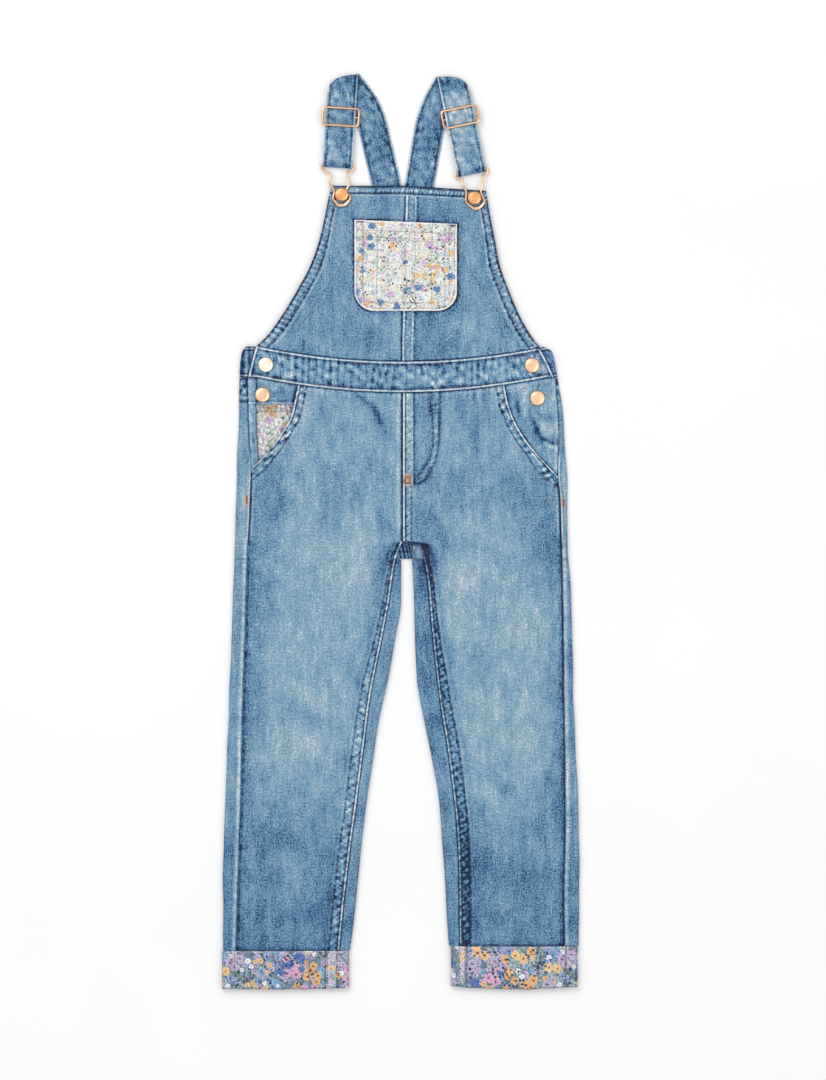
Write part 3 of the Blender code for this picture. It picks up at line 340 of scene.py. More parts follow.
class Tree:
    """One material's nodes, built with short calls."""

    def __init__(self, name, roughness, metallic=0.0):
        self.material = bpy.data.materials.new(name)
        self.material.use_nodes = True
        self.nodes = self.material.node_tree.nodes
        self.links = self.material.node_tree.links
        self.shader = self.nodes["Principled BSDF"]
        self.shader.inputs["Roughness"].default_value = roughness
        self.shader.inputs["Metallic"].default_value = metallic

    def node(self, kind, inputs, **settings):
        made = self.nodes.new(kind)
        for key, value in settings.items():
            setattr(made, key, value)
        for key, value in inputs.items():
            if isinstance(value, bpy.types.NodeSocket):
                self.links.new(value, made.inputs[key])
            else:
                made.inputs[key].default_value = value
        return made

    def math(self, operation, a, b=0.0, c=0.0):
        return self.node("ShaderNodeMath", {0: a, 1: b, 2: c}, operation=operation).outputs[0]

    def vector(self, operation, a, b=(0.0, 0.0, 0.0)):
        made = self.node("ShaderNodeVectorMath", {0: a, 1: b}, operation=operation)
        return made.outputs["Value" if operation == "LENGTH" else "Vector"]

    def attribute(self, name, output):
        return self.node("ShaderNodeAttribute", {}, attribute_name=name).outputs[output]

    def noise(self, place, stretch, detail=2.0):
        """Noise from 0 to 1 on a place in metres; stretch is its pitch in millimetres each way."""
        scaled = self.vector("MULTIPLY", place, tuple(1000.0 / pitch for pitch in stretch) + (1.0,))
        inputs = {"Vector": scaled, "Scale": 1.0, "Detail": detail, "Roughness": 0.6}
        return self.node("ShaderNodeTexNoise", inputs, noise_dimensions="2D").outputs[0]

    def voronoi(self, place, randomness=1.0, feature="F1"):
        inputs = {"Vector": place, "Scale": 1.0, "Randomness": randomness}
        return self.node("ShaderNodeTexVoronoi", inputs, voronoi_dimensions="2D", feature=feature).outputs

    def object_place(self):
        return self.node("ShaderNodeTexCoord", {}).outputs["Object"]

    def range(self, value, low, high, to_low=0.0, to_high=1.0):
        inputs = {0: value, 1: low, 2: high, 3: to_low, 4: to_high}
        return self.node("ShaderNodeMapRange", inputs).outputs[0]

    def ramp(self, value, stops):
        made = self.node("ShaderNodeValToRGB", {0: value})
        points = made.color_ramp.elements
        for i, (place, colour) in enumerate(stops):
            point = points[i] if i < 2 else points.new(place)
            point.position = place
            point.color = colour
        return made.outputs[0]

    def mix(self, share, a, b):
        made = self.node("ShaderNodeMix", {0: share, 6: a, 7: b}, data_type="RGBA")
        return made.outputs[2]

    def bump(self, height, distance, strength=1.0):
        made = self.node("ShaderNodeBump", {"Height": height, "Distance": distance, "Strength": strength})
        self.links.new(made.outputs[0], self.shader.inputs["Normal"])

    def colour(self, socket):
        self.links.new(socket, self.shader.inputs["Base Color"])


FADE_LOW, FADE_HIGH = -1.0, 2.0
# Low fade values colour dark seams, and also the painted shade and shadows that fade carries.
DENIM_STOPS = (  # fade, colour
    (-1.0, srgb(24, 34, 60)),
    (-0.6, srgb(40, 68, 110)),
    (-0.2, srgb(74, 118, 160)),
    (0.15, srgb(102, 145, 179)),
    (0.4, srgb(116, 157, 187)),
    (1.0, srgb(147, 178, 197)),
    (1.5, srgb(190, 207, 217)),
    (2.0, srgb(238, 241, 243)),
)
TWILL_PITCH = 0.95  # mm between the twill's diagonal ribs, across the cloth


def make_denim():
    """Washed twill: blue warp over white weft, with slubs both ways and an uneven wash."""
    t = Tree("denim", 0.86)
    cloth = t.attribute("cloth", "Vector")
    fade = t.attribute("fade", "Fac")
    warp = t.noise(cloth, (1.3, 12.0), 3.0)
    weft = t.noise(cloth, (10.0, 1.4), 3.0)
    slub = t.noise(cloth, (5.5, 60.0), 2.0)
    speck = t.noise(cloth, (1.55, 1.75), 2.0)
    wash = t.noise(cloth, (60.0, 95.0), 2.0)
    cloud = t.noise(cloth, (9.0, 22.0), 2.0)
    split = t.node("ShaderNodeSeparateXYZ", {0: cloth}).outputs
    slope = t.math("MULTIPLY_ADD", split[1], 0.62, split[0])
    wobble = t.math("MULTIPLY_ADD", speck, 0.5, t.math("MULTIPLY", slope, 1000.0 / TWILL_PITCH))
    rib = t.math("SINE", t.math("MULTIPLY", wobble, 2 * math.pi))
    grain = t.math("MULTIPLY", t.range(fade, -0.7, 0.2, 1.7, 3.3), t.range(fade, 0.2, 1.2, 1.0, 0.6))
    total = t.math("MULTIPLY_ADD", t.math("SUBTRACT", speck, 0.5), grain, fade)
    for source, middle, amount in ((warp, 0.5, 1.1), (weft, 0.5, 1.0), (slub, 0.5, 0.6),
                                   (wash, 0.5, 0.8), (cloud, 0.5, 1.1), (rib, 0.0, 0.25)):
        total = t.math("MULTIPLY_ADD", t.math("SUBTRACT", source, middle), amount, total)
    stops = [((place - FADE_LOW) / (FADE_HIGH - FADE_LOW), colour) for place, colour in DENIM_STOPS]
    t.colour(t.ramp(t.range(total, FADE_LOW, FADE_HIGH), stops))
    relief = t.math("MULTIPLY_ADD", rib, 0.35, t.math("ADD", warp, weft))
    t.bump(t.math("MULTIPLY_ADD", speck, 0.8, relief), 0.00035)
    t.shader.inputs["Sheen Weight"].default_value = 0.12
    t.shader.inputs["Specular IOR Level"].default_value = 0.2
    return t.material


Flower = namedtuple("Flower", "pitch size petals deep turn shift share patch")


def scatter(t, cloth, flower):
    """One scatter of flowers: how far inside a petal each point is, the distance from the flower's
    middle, and a random value from 0 to 1 that all flowers of one patch share."""
    turned = t.node("ShaderNodeVectorRotate", {"Vector": cloth, "Angle": flower.turn}, rotation_type="Z_AXIS")
    place = t.vector("MULTIPLY", turned.outputs[0], (1000.0 / flower.pitch,) * 3)
    place = t.vector("ADD", place, (flower.shift, 1.7 * flower.shift, 0.0))
    cell = t.voronoi(place, 0.75)
    away = t.vector("SUBTRACT", place, cell["Position"])
    split = t.node("ShaderNodeSeparateXYZ", {0: away}).outputs
    dice = t.node("ShaderNodeSeparateColor", {0: cell["Color"]}).outputs
    patch = t.voronoi(t.vector("MULTIPLY", cell["Position"], (flower.pitch / flower.patch,) * 3))
    shared = t.node("ShaderNodeSeparateColor", {0: patch["Color"]}).outputs
    angle = t.math("ARCTAN2", split[1], split[0])
    angle = t.math("MULTIPLY_ADD", dice[1], 2 * math.pi, t.math("MULTIPLY", angle, flower.petals / 2))
    lobe = t.math("POWER", t.math("ABSOLUTE", t.math("COSINE", angle)), 0.45)
    reach = t.math("MULTIPLY_ADD", lobe, flower.deep, 1.0 - flower.deep)
    grown = t.math("MULTIPLY", reach, t.math("MULTIPLY_ADD", dice[2], 0.4 * flower.size, 0.75 * flower.size))
    radius = t.vector("LENGTH", away)
    chance = t.math("MULTIPLY_ADD", shared[1], 0.6, t.math("MULTIPLY", dice[0], 0.4))
    chosen = t.math("LESS_THAN", chance, flower.share)
    inside = t.range(t.math("SUBTRACT", grown, radius), 0.0, 0.05)
    return t.math("MULTIPLY", inside, chosen), radius, shared[0], lobe


def pick(t, value, colours):
    """One of the colours, in equal shares, by a value from 0 to 1."""
    made = t.node("ShaderNodeValToRGB", {0: value})
    made.color_ramp.interpolation = "CONSTANT"
    points = made.color_ramp.elements
    for i, colour in enumerate(colours):
        point = points[i] if i < 2 else points.new(i / len(colours))
        point.position = i / len(colours)
        point.color = srgb(*colour)
    return made.outputs[0]


Layer = namedtuple("Layer", "flower colours eye mottle")
MUSTARD, AMBER, LILAC = (226, 160, 72), (236, 184, 112), (176, 156, 198)
SAGE, WHITE = (116, 142, 130), (242, 242, 238)
NAVY, GREY_BLUE = (34, 42, 70), (122, 142, 164)


def make_print(name, ground, washes, leaves, layers, ink, ink_pitch):
    """Plain-weave cotton with a ditsy print: soft washes of colour, sprigs of leaves and broken
    ink lines under scatters of small flowers. Flowers of one colour grow in patches."""
    t = Tree(name, 0.82)
    cloth = t.attribute("cloth", "Vector")
    fade = t.attribute("fade", "Fac")
    wobble = t.node("ShaderNodeTexNoise", {"Vector": t.vector("MULTIPLY", cloth, (380.0,) * 3), "Scale": 1.0})
    shifted = t.vector("MULTIPLY", t.vector("SUBTRACT", wobble.outputs[1], (0.5,) * 3), (0.0026,) * 3)
    drawn = t.vector("ADD", cloth, shifted)
    shown = srgb(*ground)
    for i, colour in enumerate(washes):
        pool = t.noise(t.vector("ADD", cloth, (0.1 * i, 0.07 * i, 0.0)), (10.0, 10.0), 2.0)
        shown = t.mix(t.range(pool, 0.52, 0.62, 0.0, 0.8), shown, srgb(*colour))
    for flower, colours in leaves:
        inside, _, value, _ = scatter(t, drawn, flower)
        shown = t.mix(t.math("MULTIPLY", inside, 0.85), shown, pick(t, value, colours))
    drawing = t.voronoi(t.vector("MULTIPLY", drawn, (1000.0 / ink_pitch,) * 3), feature="DISTANCE_TO_EDGE")[0]
    broken = t.range(t.noise(cloth, (4.0, 4.0), 2.0), 0.44, 0.56)
    line = t.math("MULTIPLY", t.range(drawing, 0.05, 0.15, 0.8, 0.0), broken)
    shown = t.mix(line, shown, srgb(*ink))
    mottle = t.noise(cloth, (1.5, 1.5), 1.0)
    for flower, colours, eye, mottled in layers:
        inside, radius, value, lobe = scatter(t, drawn, flower)
        petal = pick(t, value, colours)
        pale = t.range(radius, 0.1, flower.size, 0.0, 0.5 * mottled)
        petal = t.mix(t.math("MULTIPLY", pale, t.math("MULTIPLY", lobe, 0.6)), petal, srgb(*WHITE))
        petal = t.mix(t.range(mottle, 0.5, 0.72, 0.0, 0.55 * mottled), petal, srgb(*WHITE))
        petal = t.mix(t.range(mottle, 0.28, 0.5, 0.35 * mottled, 0.0), petal, srgb(*NAVY))
        if eye:
            in_eye = t.range(radius, 0.16 * flower.size, 0.24 * flower.size, 1.0, 0.0)
            petal = t.mix(in_eye, petal, srgb(*eye))
        shown = t.mix(inside, shown, petal)
    thread = t.noise(cloth, (0.9, 0.9), 1.0)
    # worn: high values pale the print as wear; low ones darken it towards navy, for dark seams and for the
    # painted shade and shadows that fade carries.
    worn = t.math("MULTIPLY_ADD", t.math("SUBTRACT", thread, 0.5), 0.5, t.math("MULTIPLY", fade, 0.5))
    shown = t.mix(t.range(worn, 0.0, 1.0, 0.0, 0.9), shown, srgb(*WHITE))
    shown = t.mix(t.range(worn, -0.5, 0.0, 0.8, 0.0), shown, srgb(*NAVY))
    t.colour(shown)
    t.bump(t.math("ADD", thread, t.noise(cloth, (5.0, 5.0), 1.0)), 0.00025)
    t.shader.inputs["Sheen Weight"].default_value = 0.08
    t.shader.inputs["Specular IOR Level"].default_value = 0.25
    return t.material


def make_thread(name, colour):
    t = Tree(name, 0.7)
    twist = t.noise(t.object_place(), (0.5, 0.5), 1.0)
    t.colour(t.mix(t.range(twist, 0.2, 0.8, 0.0, 0.35), srgb(*colour), srgb(*(0.62 * c for c in colour))))
    t.bump(twist, 0.0001)
    return t.material


def make_metal(name, colour, roughness):
    """Rose gold plate, with fine brushing and faint handling marks."""
    t = Tree(name, roughness, 1.0)
    place = t.object_place()
    marks = t.noise(place, (0.3, 2.4), 2.0)
    tint = t.noise(place, (6.0, 6.0), 2.0)
    t.colour(t.mix(t.range(tint, 0.35, 0.7, 0.0, 0.5), srgb(*colour), srgb(*(0.88 * c for c in colour))))
    t.links.new(t.range(marks, 0.3, 0.8, roughness - 0.05, roughness + 0.07), t.shader.inputs["Roughness"])
    t.bump(marks, 0.000006)
    return t.material


DENIM = make_denim()
PALE_PRINT = make_print(
    "pale_flower_print", (240, 239, 234),
    ((208, 224, 230), (230, 218, 232), (243, 230, 206), (208, 220, 208)),
    ((Flower(3.4, 0.38, 2, 0.6, 0.7, 2.3, 0.36, 8.0), (SAGE, (150, 172, 190), (196, 176, 140), GREY_BLUE)),
     (Flower(2.6, 0.32, 2, 0.6, 2.1, 7.9, 0.3, 9.0), ((160, 176, 196), (140, 150, 136), (200, 180, 208)))),
    (Layer(Flower(8.4, 0.54, 5, 0.45, 0.4, 4.4, 0.38, 11.0),
           ((206, 156, 212), (228, 166, 84), (182, 206, 222), (216, 174, 220), (232, 184, 112)), None, 1.3),
     Layer(Flower(9.2, 0.5, 3, 0.5, 1.2, 11.2, 0.25, 15.0), ((76, 130, 180), (60, 112, 166)), None, 0.4),
     Layer(Flower(4.8, 0.42, 4, 0.35, 1.8, 6.6, 0.26, 8.0),
           ((226, 170, 92), (204, 140, 208), (176, 198, 214), (150, 168, 150)), None, 0.8),
     Layer(Flower(3.1, 0.36, 3, 0.3, 2.6, 17.5, 0.25, 8.0),
           ((44, 58, 84), (70, 84, 92), (60, 58, 84)), None, 0.0)),
    (132, 142, 140), 3.1,
)
DEEP_PRINT = make_print(
    "deep_flower_print", (114, 140, 156), ((94, 138, 180), (126, 152, 130), (146, 144, 170), (98, 126, 150)),
    ((Flower(3.4, 0.46, 2, 0.5, 0.7, 2.3, 0.75, 9.0), (SAGE, (92, 124, 156), NAVY, (158, 184, 196), LILAC)),
     (Flower(2.7, 0.36, 2, 0.55, 2.1, 7.9, 0.55, 8.0), ((70, 96, 130), (200, 210, 208), (86, 116, 98)))),
    (Layer(Flower(6.4, 0.56, 5, 0.3, 2.2, 9.1, 0.55, 15.0),
           (LILAC, (96, 140, 190), (166, 146, 190), (120, 152, 150), (176, 164, 200)), (96, 86, 130), 1.0),
     Layer(Flower(8.8, 0.6, 5, 0.4, 0.4, 4.4, 0.42, 16.0),
           (MUSTARD, (212, 142, 196), AMBER, (80, 136, 190), MUSTARD, LILAC), (96, 62, 60), 0.8),
     Layer(Flower(9.6, 0.56, 4, 0.35, 1.9, 7.3, 0.25, 13.0), ((30, 92, 168), (52, 122, 184)), None, 0.4),
     Layer(Flower(5.8, 0.5, 5, 0.4, 1.2, 11.2, 0.34, 11.0),
           (WHITE, MUSTARD, (236, 238, 244), (84, 166, 214), AMBER), NAVY, 0.5),
     Layer(Flower(3.7, 0.38, 3, 0.3, 2.6, 17.5, 0.28, 11.0), (NAVY, (44, 62, 88)), None, 0.0)),
    (76, 90, 102), 3.6,
)
THREAD_COLOURS = {
    "rust": (122, 88, 80),
    "amber": (190, 126, 76),
    "blush": (212, 186, 172),
    "brown": (112, 66, 58),
    "dark": (58, 64, 84),
}
THREADS = {word: make_thread(word + "_thread", colour) for word, colour in THREAD_COLOURS.items()}
ROSE_GOLD = make_metal("rose_gold", (246, 200, 164), 0.2)
WARM_GOLD = make_metal("warm_rose_gold", (240, 176, 120), 0.24)
# A near-white copy of the rose gold, for one button: a painted highlight.
PAINTED_HIGHLIGHT_GOLD = make_metal("rose_gold_painted_highlight", (252, 236, 216), 0.3)


# ---- front legs ------------------------------------------------------------------------------
FADE_DOWN = ((142, 0.42), (110, 0.45), (60, 0.52), (10, 0.7), (-60, 0.84), (-150, 0.93), (-215, 0.88),
             (-265, 0.6), (-310, 0.34), (-375, 0.08), (-420, 0.02))
FADE_EDGE = ((142, 0.38), (60, 0.28), (0, 0.1), (-100, 0.14), (-200, 0.24), (-300, 0.15), (-420, 0.02))
FLY_INNER = ((138, 29.5), (110, 32.6), (90, 32.8), (77.5, 31), (69.5, 27), (59.5, 20), (50.5, 15))
FLY_OUTER = ((138, 40), (110, 39.6), (90, 38.6), (77.5, 37), (70, 34.2), (60.5, 30), (52.5, 24), (47.5, 17))


def leg_fade(x, y, from_side, from_inseam):
    """The wash of a front leg: pale down the thigh and knee, blue at its sides and shin."""
    middle = ease((from_side + 6) / 52.0) * ease((from_inseam + 14) / 50.0)
    fade = smooth(FADE_EDGE, y) + (smooth(FADE_DOWN, y) - smooth(FADE_EDGE, y)) * middle
    return (fade + 0.16 * ease((y - 55.0) / 25.0) + 0.1 * waves(x, 0.35 * y, 60, 5)
            + 0.07 * waves(x, y, 24, 6))


def line_gap(x, y, line):
    """The distance of points from a line given as (y, x)."""
    slope = smooth(line, y + 0.5) - smooth(line, y - 0.5)
    return (x - smooth(line, y)) / np.sqrt(1 + slope ** 2)


def fly_shade(x, y):
    """The wash of the fly's curved stitching: two broken dark rows with pale cloth beside them."""
    inner, outer = line_gap(x, y, FLY_INNER), line_gap(x, y, FLY_OUTER)
    there = ease((y - FLY_OUTER[-1][0] + 1.0) / 3.0)
    patchy = waves(x, y, 5.0, 27)
    dark = -0.9 - 0.7 * patchy
    shade = bells(inner, (dark, 0, 1.7), (0.4 - 0.6 * patchy, 2.4, 1.4))
    shade += bells(outer, (dark, 0, 1.5), (0.5 + 0.7 * patchy, -2.8, 1.4), (-0.1, -3.0, 4.0))
    return there * (shade + (0.5 * waves(x, y, 7.0, 28) - 0.25) * bell(0.5 * (inner + outer), 4.5))


def front_under(x, y, side, seed):
    """The underside of a front leg: higher along its middle, with creases and slow waves that fade
    out at its seams and over the pocket."""
    outline = OUTLINES[side]
    from_side = side * (smooth(outline.side, y) - x)
    from_inseam = side * (x - smooth(outline.inseam, y))
    pocket = ease((50.0 + side * (x - smooth(outline.mouth, y))) / 16.0) * ease((y - 18.0) / 16.0)
    middle = ease(from_side / 45.0) * np.where(y < 0, ease(from_inseam / 30.0), 1.0)
    height = np.maximum((LEG_UNDER - FRONT_UNDER) * middle, POCKET_LIFT * pocket)
    free = ease(from_side / 22.0) * ease((from_inseam - 6) / 18.0) * (1 - pocket)
    slow = 0.35 * waves(x, 0.5 * y, 85, seed) + 0.16 * waves(x, y, 33, seed + 1)
    return FRONT_UNDER + height + (slow - crease_depth(x, y, FRONT_CREASES + PULLS)) * free


def build_front_leg(name, side):
    outline = OUTLINES[side]
    mouth_end = outline.mouth[-1][0]
    waist = WAIST_BOTTOM - SEAM / 2
    hem = outline.hem
    seed = 20 + side
    row_y = np.concatenate((steps_between(waist, 40, 1.7), steps_between(38.5, -30, 1.8),
                            steps_between(-32, hem + 14, 2.1), steps_between(hem + 12, hem, 1.2)))
    lift = ease((row_y - 100.0) / (waist - 100.0))
    outer = smooth(outline.mouth, row_y)
    for _ in range(3):
        outer = smooth(outline.mouth, row_y + waist_sag(outer) * lift)
    outer = np.where(row_y >= mouth_end, outer, smooth(outline.side, row_y))
    inner = smooth(outline.inseam, row_y) + np.where(row_y > FLY_END, side * SEAM / 2, 0.0)
    width = side * (outer - inner)
    from_edge = columns_between(width, 46)
    from_inner = width[:, None] - from_edge
    row = row_y[:, None]
    x = outer[:, None] - side * from_edge
    y = row + waist_sag(x) * lift[:, None]
    over_mouth = ease((y - mouth_end + 3) / 3.0)
    hem_width = smooth(MOUTH_BAND, y)
    from_mouth = from_edge + MOUTH_RUN_ON * np.clip(mouth_end - row, 0.0, None)
    upper = row > FLY_END
    lower = 1.0 - upper
    felled = smooth(INSEAM_BAND, row) * np.ones_like(x)
    has_fell = lower
    if side > 0:
        felled = np.where(upper, FLY_BAND, felled)
        has_fell = np.ones_like(lower)

    gather = puckers(row + 0.35 * from_edge, 5.4, seed)
    inner_gather = puckers(row - 0.6 * from_inner, 5.2, seed + 3)
    above_waist = waist_gap(x, y)
    waist_gather = puckers(x, 6.0, seed + 6) * ease((above_waist + 16) / 15.0)
    mouth_hem = band(from_mouth, hem_width)
    fell = has_fell * band(from_inner, felled)
    relief = HEM_RAISE * np.maximum(mouth_hem, fell) + 0.25 * mouth_hem * gather + 0.28 * fell * inner_gather
    relief += over_mouth * edge_form(from_edge) + (1 - over_mouth) * edge_drop(from_edge, 0.9)
    relief += has_fell * edge_form(from_inner) + (1 - has_fell) * edge_drop(from_inner, 0.6)
    relief -= 0.25 * bell(from_inner - felled - 3.5, 3.0) * has_fell * (1 + inner_gather)
    relief += 0.35 * waist_gather * ease(from_edge / 6.0)

    fade = leg_fade(x, y, side * (smooth(outline.side, y) - x), from_inner)
    beads = 0.5 + 0.5 * puckers(y, 11.0, seed + 8)
    if side < 0:
        seam_shade = bells(from_edge, (0.4 + 0.7 * beads, 1.2, 1.5), (0.35 * beads, 4, 3.0))
    else:
        seam_shade = bells(from_edge, (1.2, 0.4, 0.8), (0.15 + 0.45 * beads, 2.5, 2.2))
    below_hem = ease((mouth_end - 10.0 - y) / 3.0)
    hip_shade = bells(from_edge, (1.6, 0.5, 1.1), (-0.8 * below_hem, 3.1, 0.9))
    seam_shade += (hip_shade - seam_shade) * ease((y + 14.0) / 18.0)
    patchy = waves(x, y, 6.5, seed + 9)
    fade += over_mouth * edge_wear(from_edge) - (1 - over_mouth) * seam_shade
    fade += mouth_hem * (0.1 + 0.8 * gather + 1.1 * patchy)
    fade += bells(from_mouth - hem_width, (-1.2, -0.6, 1.0), (0.3, 1.4, 1.0))
    if side < 0:
        # Painted shadow: a dark line down the left front's inner edge, beside the fly band that lies over it,
        # with a pale streak further in.
        painted_fly_shadow = 1.0 + 0.7 * ease((y - 38.0) / 12.0)
        fade += upper * bells(from_inner, (-painted_fly_shadow, 0, 1.3), (0.55, 4.0, 1.8))
        fade -= 0.12 * bell(y + 70.0, 45.0)
        fell_shade, ridge_share, beading = 0.2, lower, 1.0
    else:
        high = bells(from_inner, (0.9, 8.9, 0.8), (-0.85, 11.0, 1.3))
        low = bells(from_inner, (0.65, 11.0, 1.0), (-0.9, 8.7, 0.8),
                    (-0.5 - 0.8 * puckers(y, 4.2, 91), 3.3, 0.8))
        fade += upper * (low + ease((y - 43.0) / 6.0) * (high - low) + fly_shade(x, y))
        fade += bells(y, (-0.17, 20.0, 45.0), (0.18, -75.0, 40.0), (0.07, -215.0, 110.0))
        # Below the fly the right leg's felled band is darkened (-0.55) as painted shade, where it lies rolled
        # under.
        fell_shade, ridge_share = np.where(upper, 0.55, -0.55), np.where(upper, 1.1, 0.8)
        beading = np.where(upper, 0.55, 1.0)
    fade += ridge_share * edge_wear(from_inner)
    fade += fell * (fell_shade + beading * (0.7 * inner_gather + 0.75 * patchy))
    fade += lower * bells(from_inner - felled, (-0.9, -0.4, 1.0), (0.35, 1.6, 1.0), (-0.25, 4, 3))
    # The dark line along the waistband's lower edge is a painted shadow of the waistband.
    fade += 0.5 * waist_gather + bells(above_waist, (-1.4, 0, 1.3), (0.45, -2.6, 1.3))
    # Painted shade and highlight: creases darken the cloth in their troughs and pale it on their ridges;
    # pulls are painted as dark lines of shade with a painted highlight beside them.
    fade -= 0.38 * crease_depth(x, y, FRONT_CREASES) * ease(from_edge / 12.0)
    fade += 0.3 * crease_depth(x - 3.5, y + 2.0, PULLS) - 1.15 * crease_depth(x, y, PULLS)
    # Painted shade near the crotch along the inner edge, and a painted shadow line at the hem where the
    # turn-up meets the leg.
    crotch = ease((row + 60) / 45.0) * ease((-8 - row) / 4.0)
    fade -= (1.1 if side > 0 else 0.6) * crotch * bell(from_inner - 5, 8.0) + 0.6 * bell(row - hem, 2.5)
    return face_up(name, x, y, front_under(x, y, side, seed), WALL + relief, fade, DENIM)


# ---- back legs -------------------------------------------------------------------------------
ARC_STEPS = 8
FLAP_PARTS = np.array((0.18, 0.36, 0.54, 0.7, 0.84, 0.93, 0.975, 1.0))


def fold_radius(y):
    return 1.5 + 0.8 * float(ease((52.0 - y) / 50.0))


def fold_arc(fold, radius, side, turn=math.pi):
    """Section points that turn up from a panel's resting face round its fold."""
    angles = turn * np.arange(ARC_STEPS + 1) / ARC_STEPS
    return np.stack((fold - side * radius * (1 - np.sin(angles)), radius * (1 - np.cos(angles))), -1)


def folded_side(fold, radius, seam, side):
    """Half of a back panel's section: round its side fold, then the flap on the upper side. The
    flap's pressed edge stands up as a ridge beside the seam, and dips under the front there."""
    start = fold - side * radius
    room = side * (start - seam)
    x = start - side * room * FLAP_PARTS
    bulge = 0.25 * min(room / 12.0, 1.0)
    drop = (FLAP_TOP + 0.6 - 2 * radius - bulge) * ease((FLAP_PARTS - 0.84) / 0.16)
    z = 2 * radius + bulge * ease(FLAP_PARTS / 0.5) + drop
    tail = np.stack((seam - side * np.array((0.4, 1.2, 3.0, UNDERLAP)), np.full(4, FLAP_TOP)), -1)
    return np.concatenate((fold_arc(fold, radius, side), np.stack((x, z), -1), tail))


def offset_line(line, distance):
    """A section line moved sideways in its own XZ plane, to the left of its direction."""
    steps = np.diff(line, axis=0)
    sides = np.stack((-steps[:, 1], steps[:, 0]), axis=1)
    sides /= np.maximum(np.linalg.norm(sides, axis=1, keepdims=True), 1e-9)
    first = np.concatenate((sides[:1], sides))
    second = np.concatenate((sides, sides[-1:]))
    middle = first + second
    middle /= np.linalg.norm(middle, axis=1, keepdims=True)
    reach = np.maximum((middle * first).sum(1, keepdims=True), 0.6)
    return line + middle * distance / reach


def seat_end(end, side, lean):
    """The inner end of the seat, flat or curling up, with as many points as a side fold."""
    count = ARC_STEPS + 1 + len(FLAP_PARTS) + 4
    if lean == 0.0:
        x = end - side * 6.0 * (1 - np.arange(count) / (count - 1))
        return np.stack((x, np.zeros(count)), -1)
    arc = fold_arc(end, 2.6, side, lean)
    reach = 0.6 * np.arange(1, count - ARC_STEPS) / (count - ARC_STEPS - 1)
    return np.concatenate((arc, arc[-1] + reach[:, None] * (side * math.cos(lean), math.sin(lean))))


def wrapped_shell(name, sections, row_ys, thickness, fades):
    """A cloth wall from outer section lines, each with its y for every point."""
    outer, inner, cloth = [], [], []
    for line, ys in zip(sections, row_ys):
        ys = np.broadcast_to(ys, len(line))
        moved = offset_line(line, thickness)
        outer.append(np.stack((line[:, 0], ys, line[:, 1]), -1))
        inner.append(np.stack((moved[:, 0], ys, moved[:, 1]), -1))
        run = run_along(line)
        cloth.append(np.stack((run - run[-1] / 2, ys), -1) * MM)
    return shell(name, *(np.array(grid) for grid in (outer, inner, cloth, fades)), DENIM)


def flap_fade(x, y, fold, seam, side, base, wear=0.85):
    """Wash of a back panel from above: a worn ridge beside the seam, a painted shadow along the seam under
    the front's edge, and painted shade darkening the fold.
    """
    ridge = side * (x - seam)
    wear = wear * (1.0 - 0.85 * ease((y - 60.0) / 25.0)) * (1.0 + 0.25 * ease((-150.0 - y) / 100.0))
    hip = ease((y + 14.0) / 18.0) * ease((84.0 - y) / 12.0)
    beads = 1.0 + 0.45 * puckers(y + 0.4 * x, 9.0, 40 + side)
    worn = (1.0 - hip) * wear * bells(ridge, (beads, 2.4, 2.0), (-0.3, 6.5, 2.0))
    line = hip * bells(ridge, (1.5, 1.0, 0.75), (-0.6, 2.7, 0.8), (0.25, 7.0, 4.0))
    # Painted shadow: a dark line at the seam under the front's edge; painted shade: darker along the fold.
    return base + worn + line - 1.3 * bell(ridge + 0.8 * hip - 0.2, 0.8) - 0.25 * bell(fold - x, 1.5)


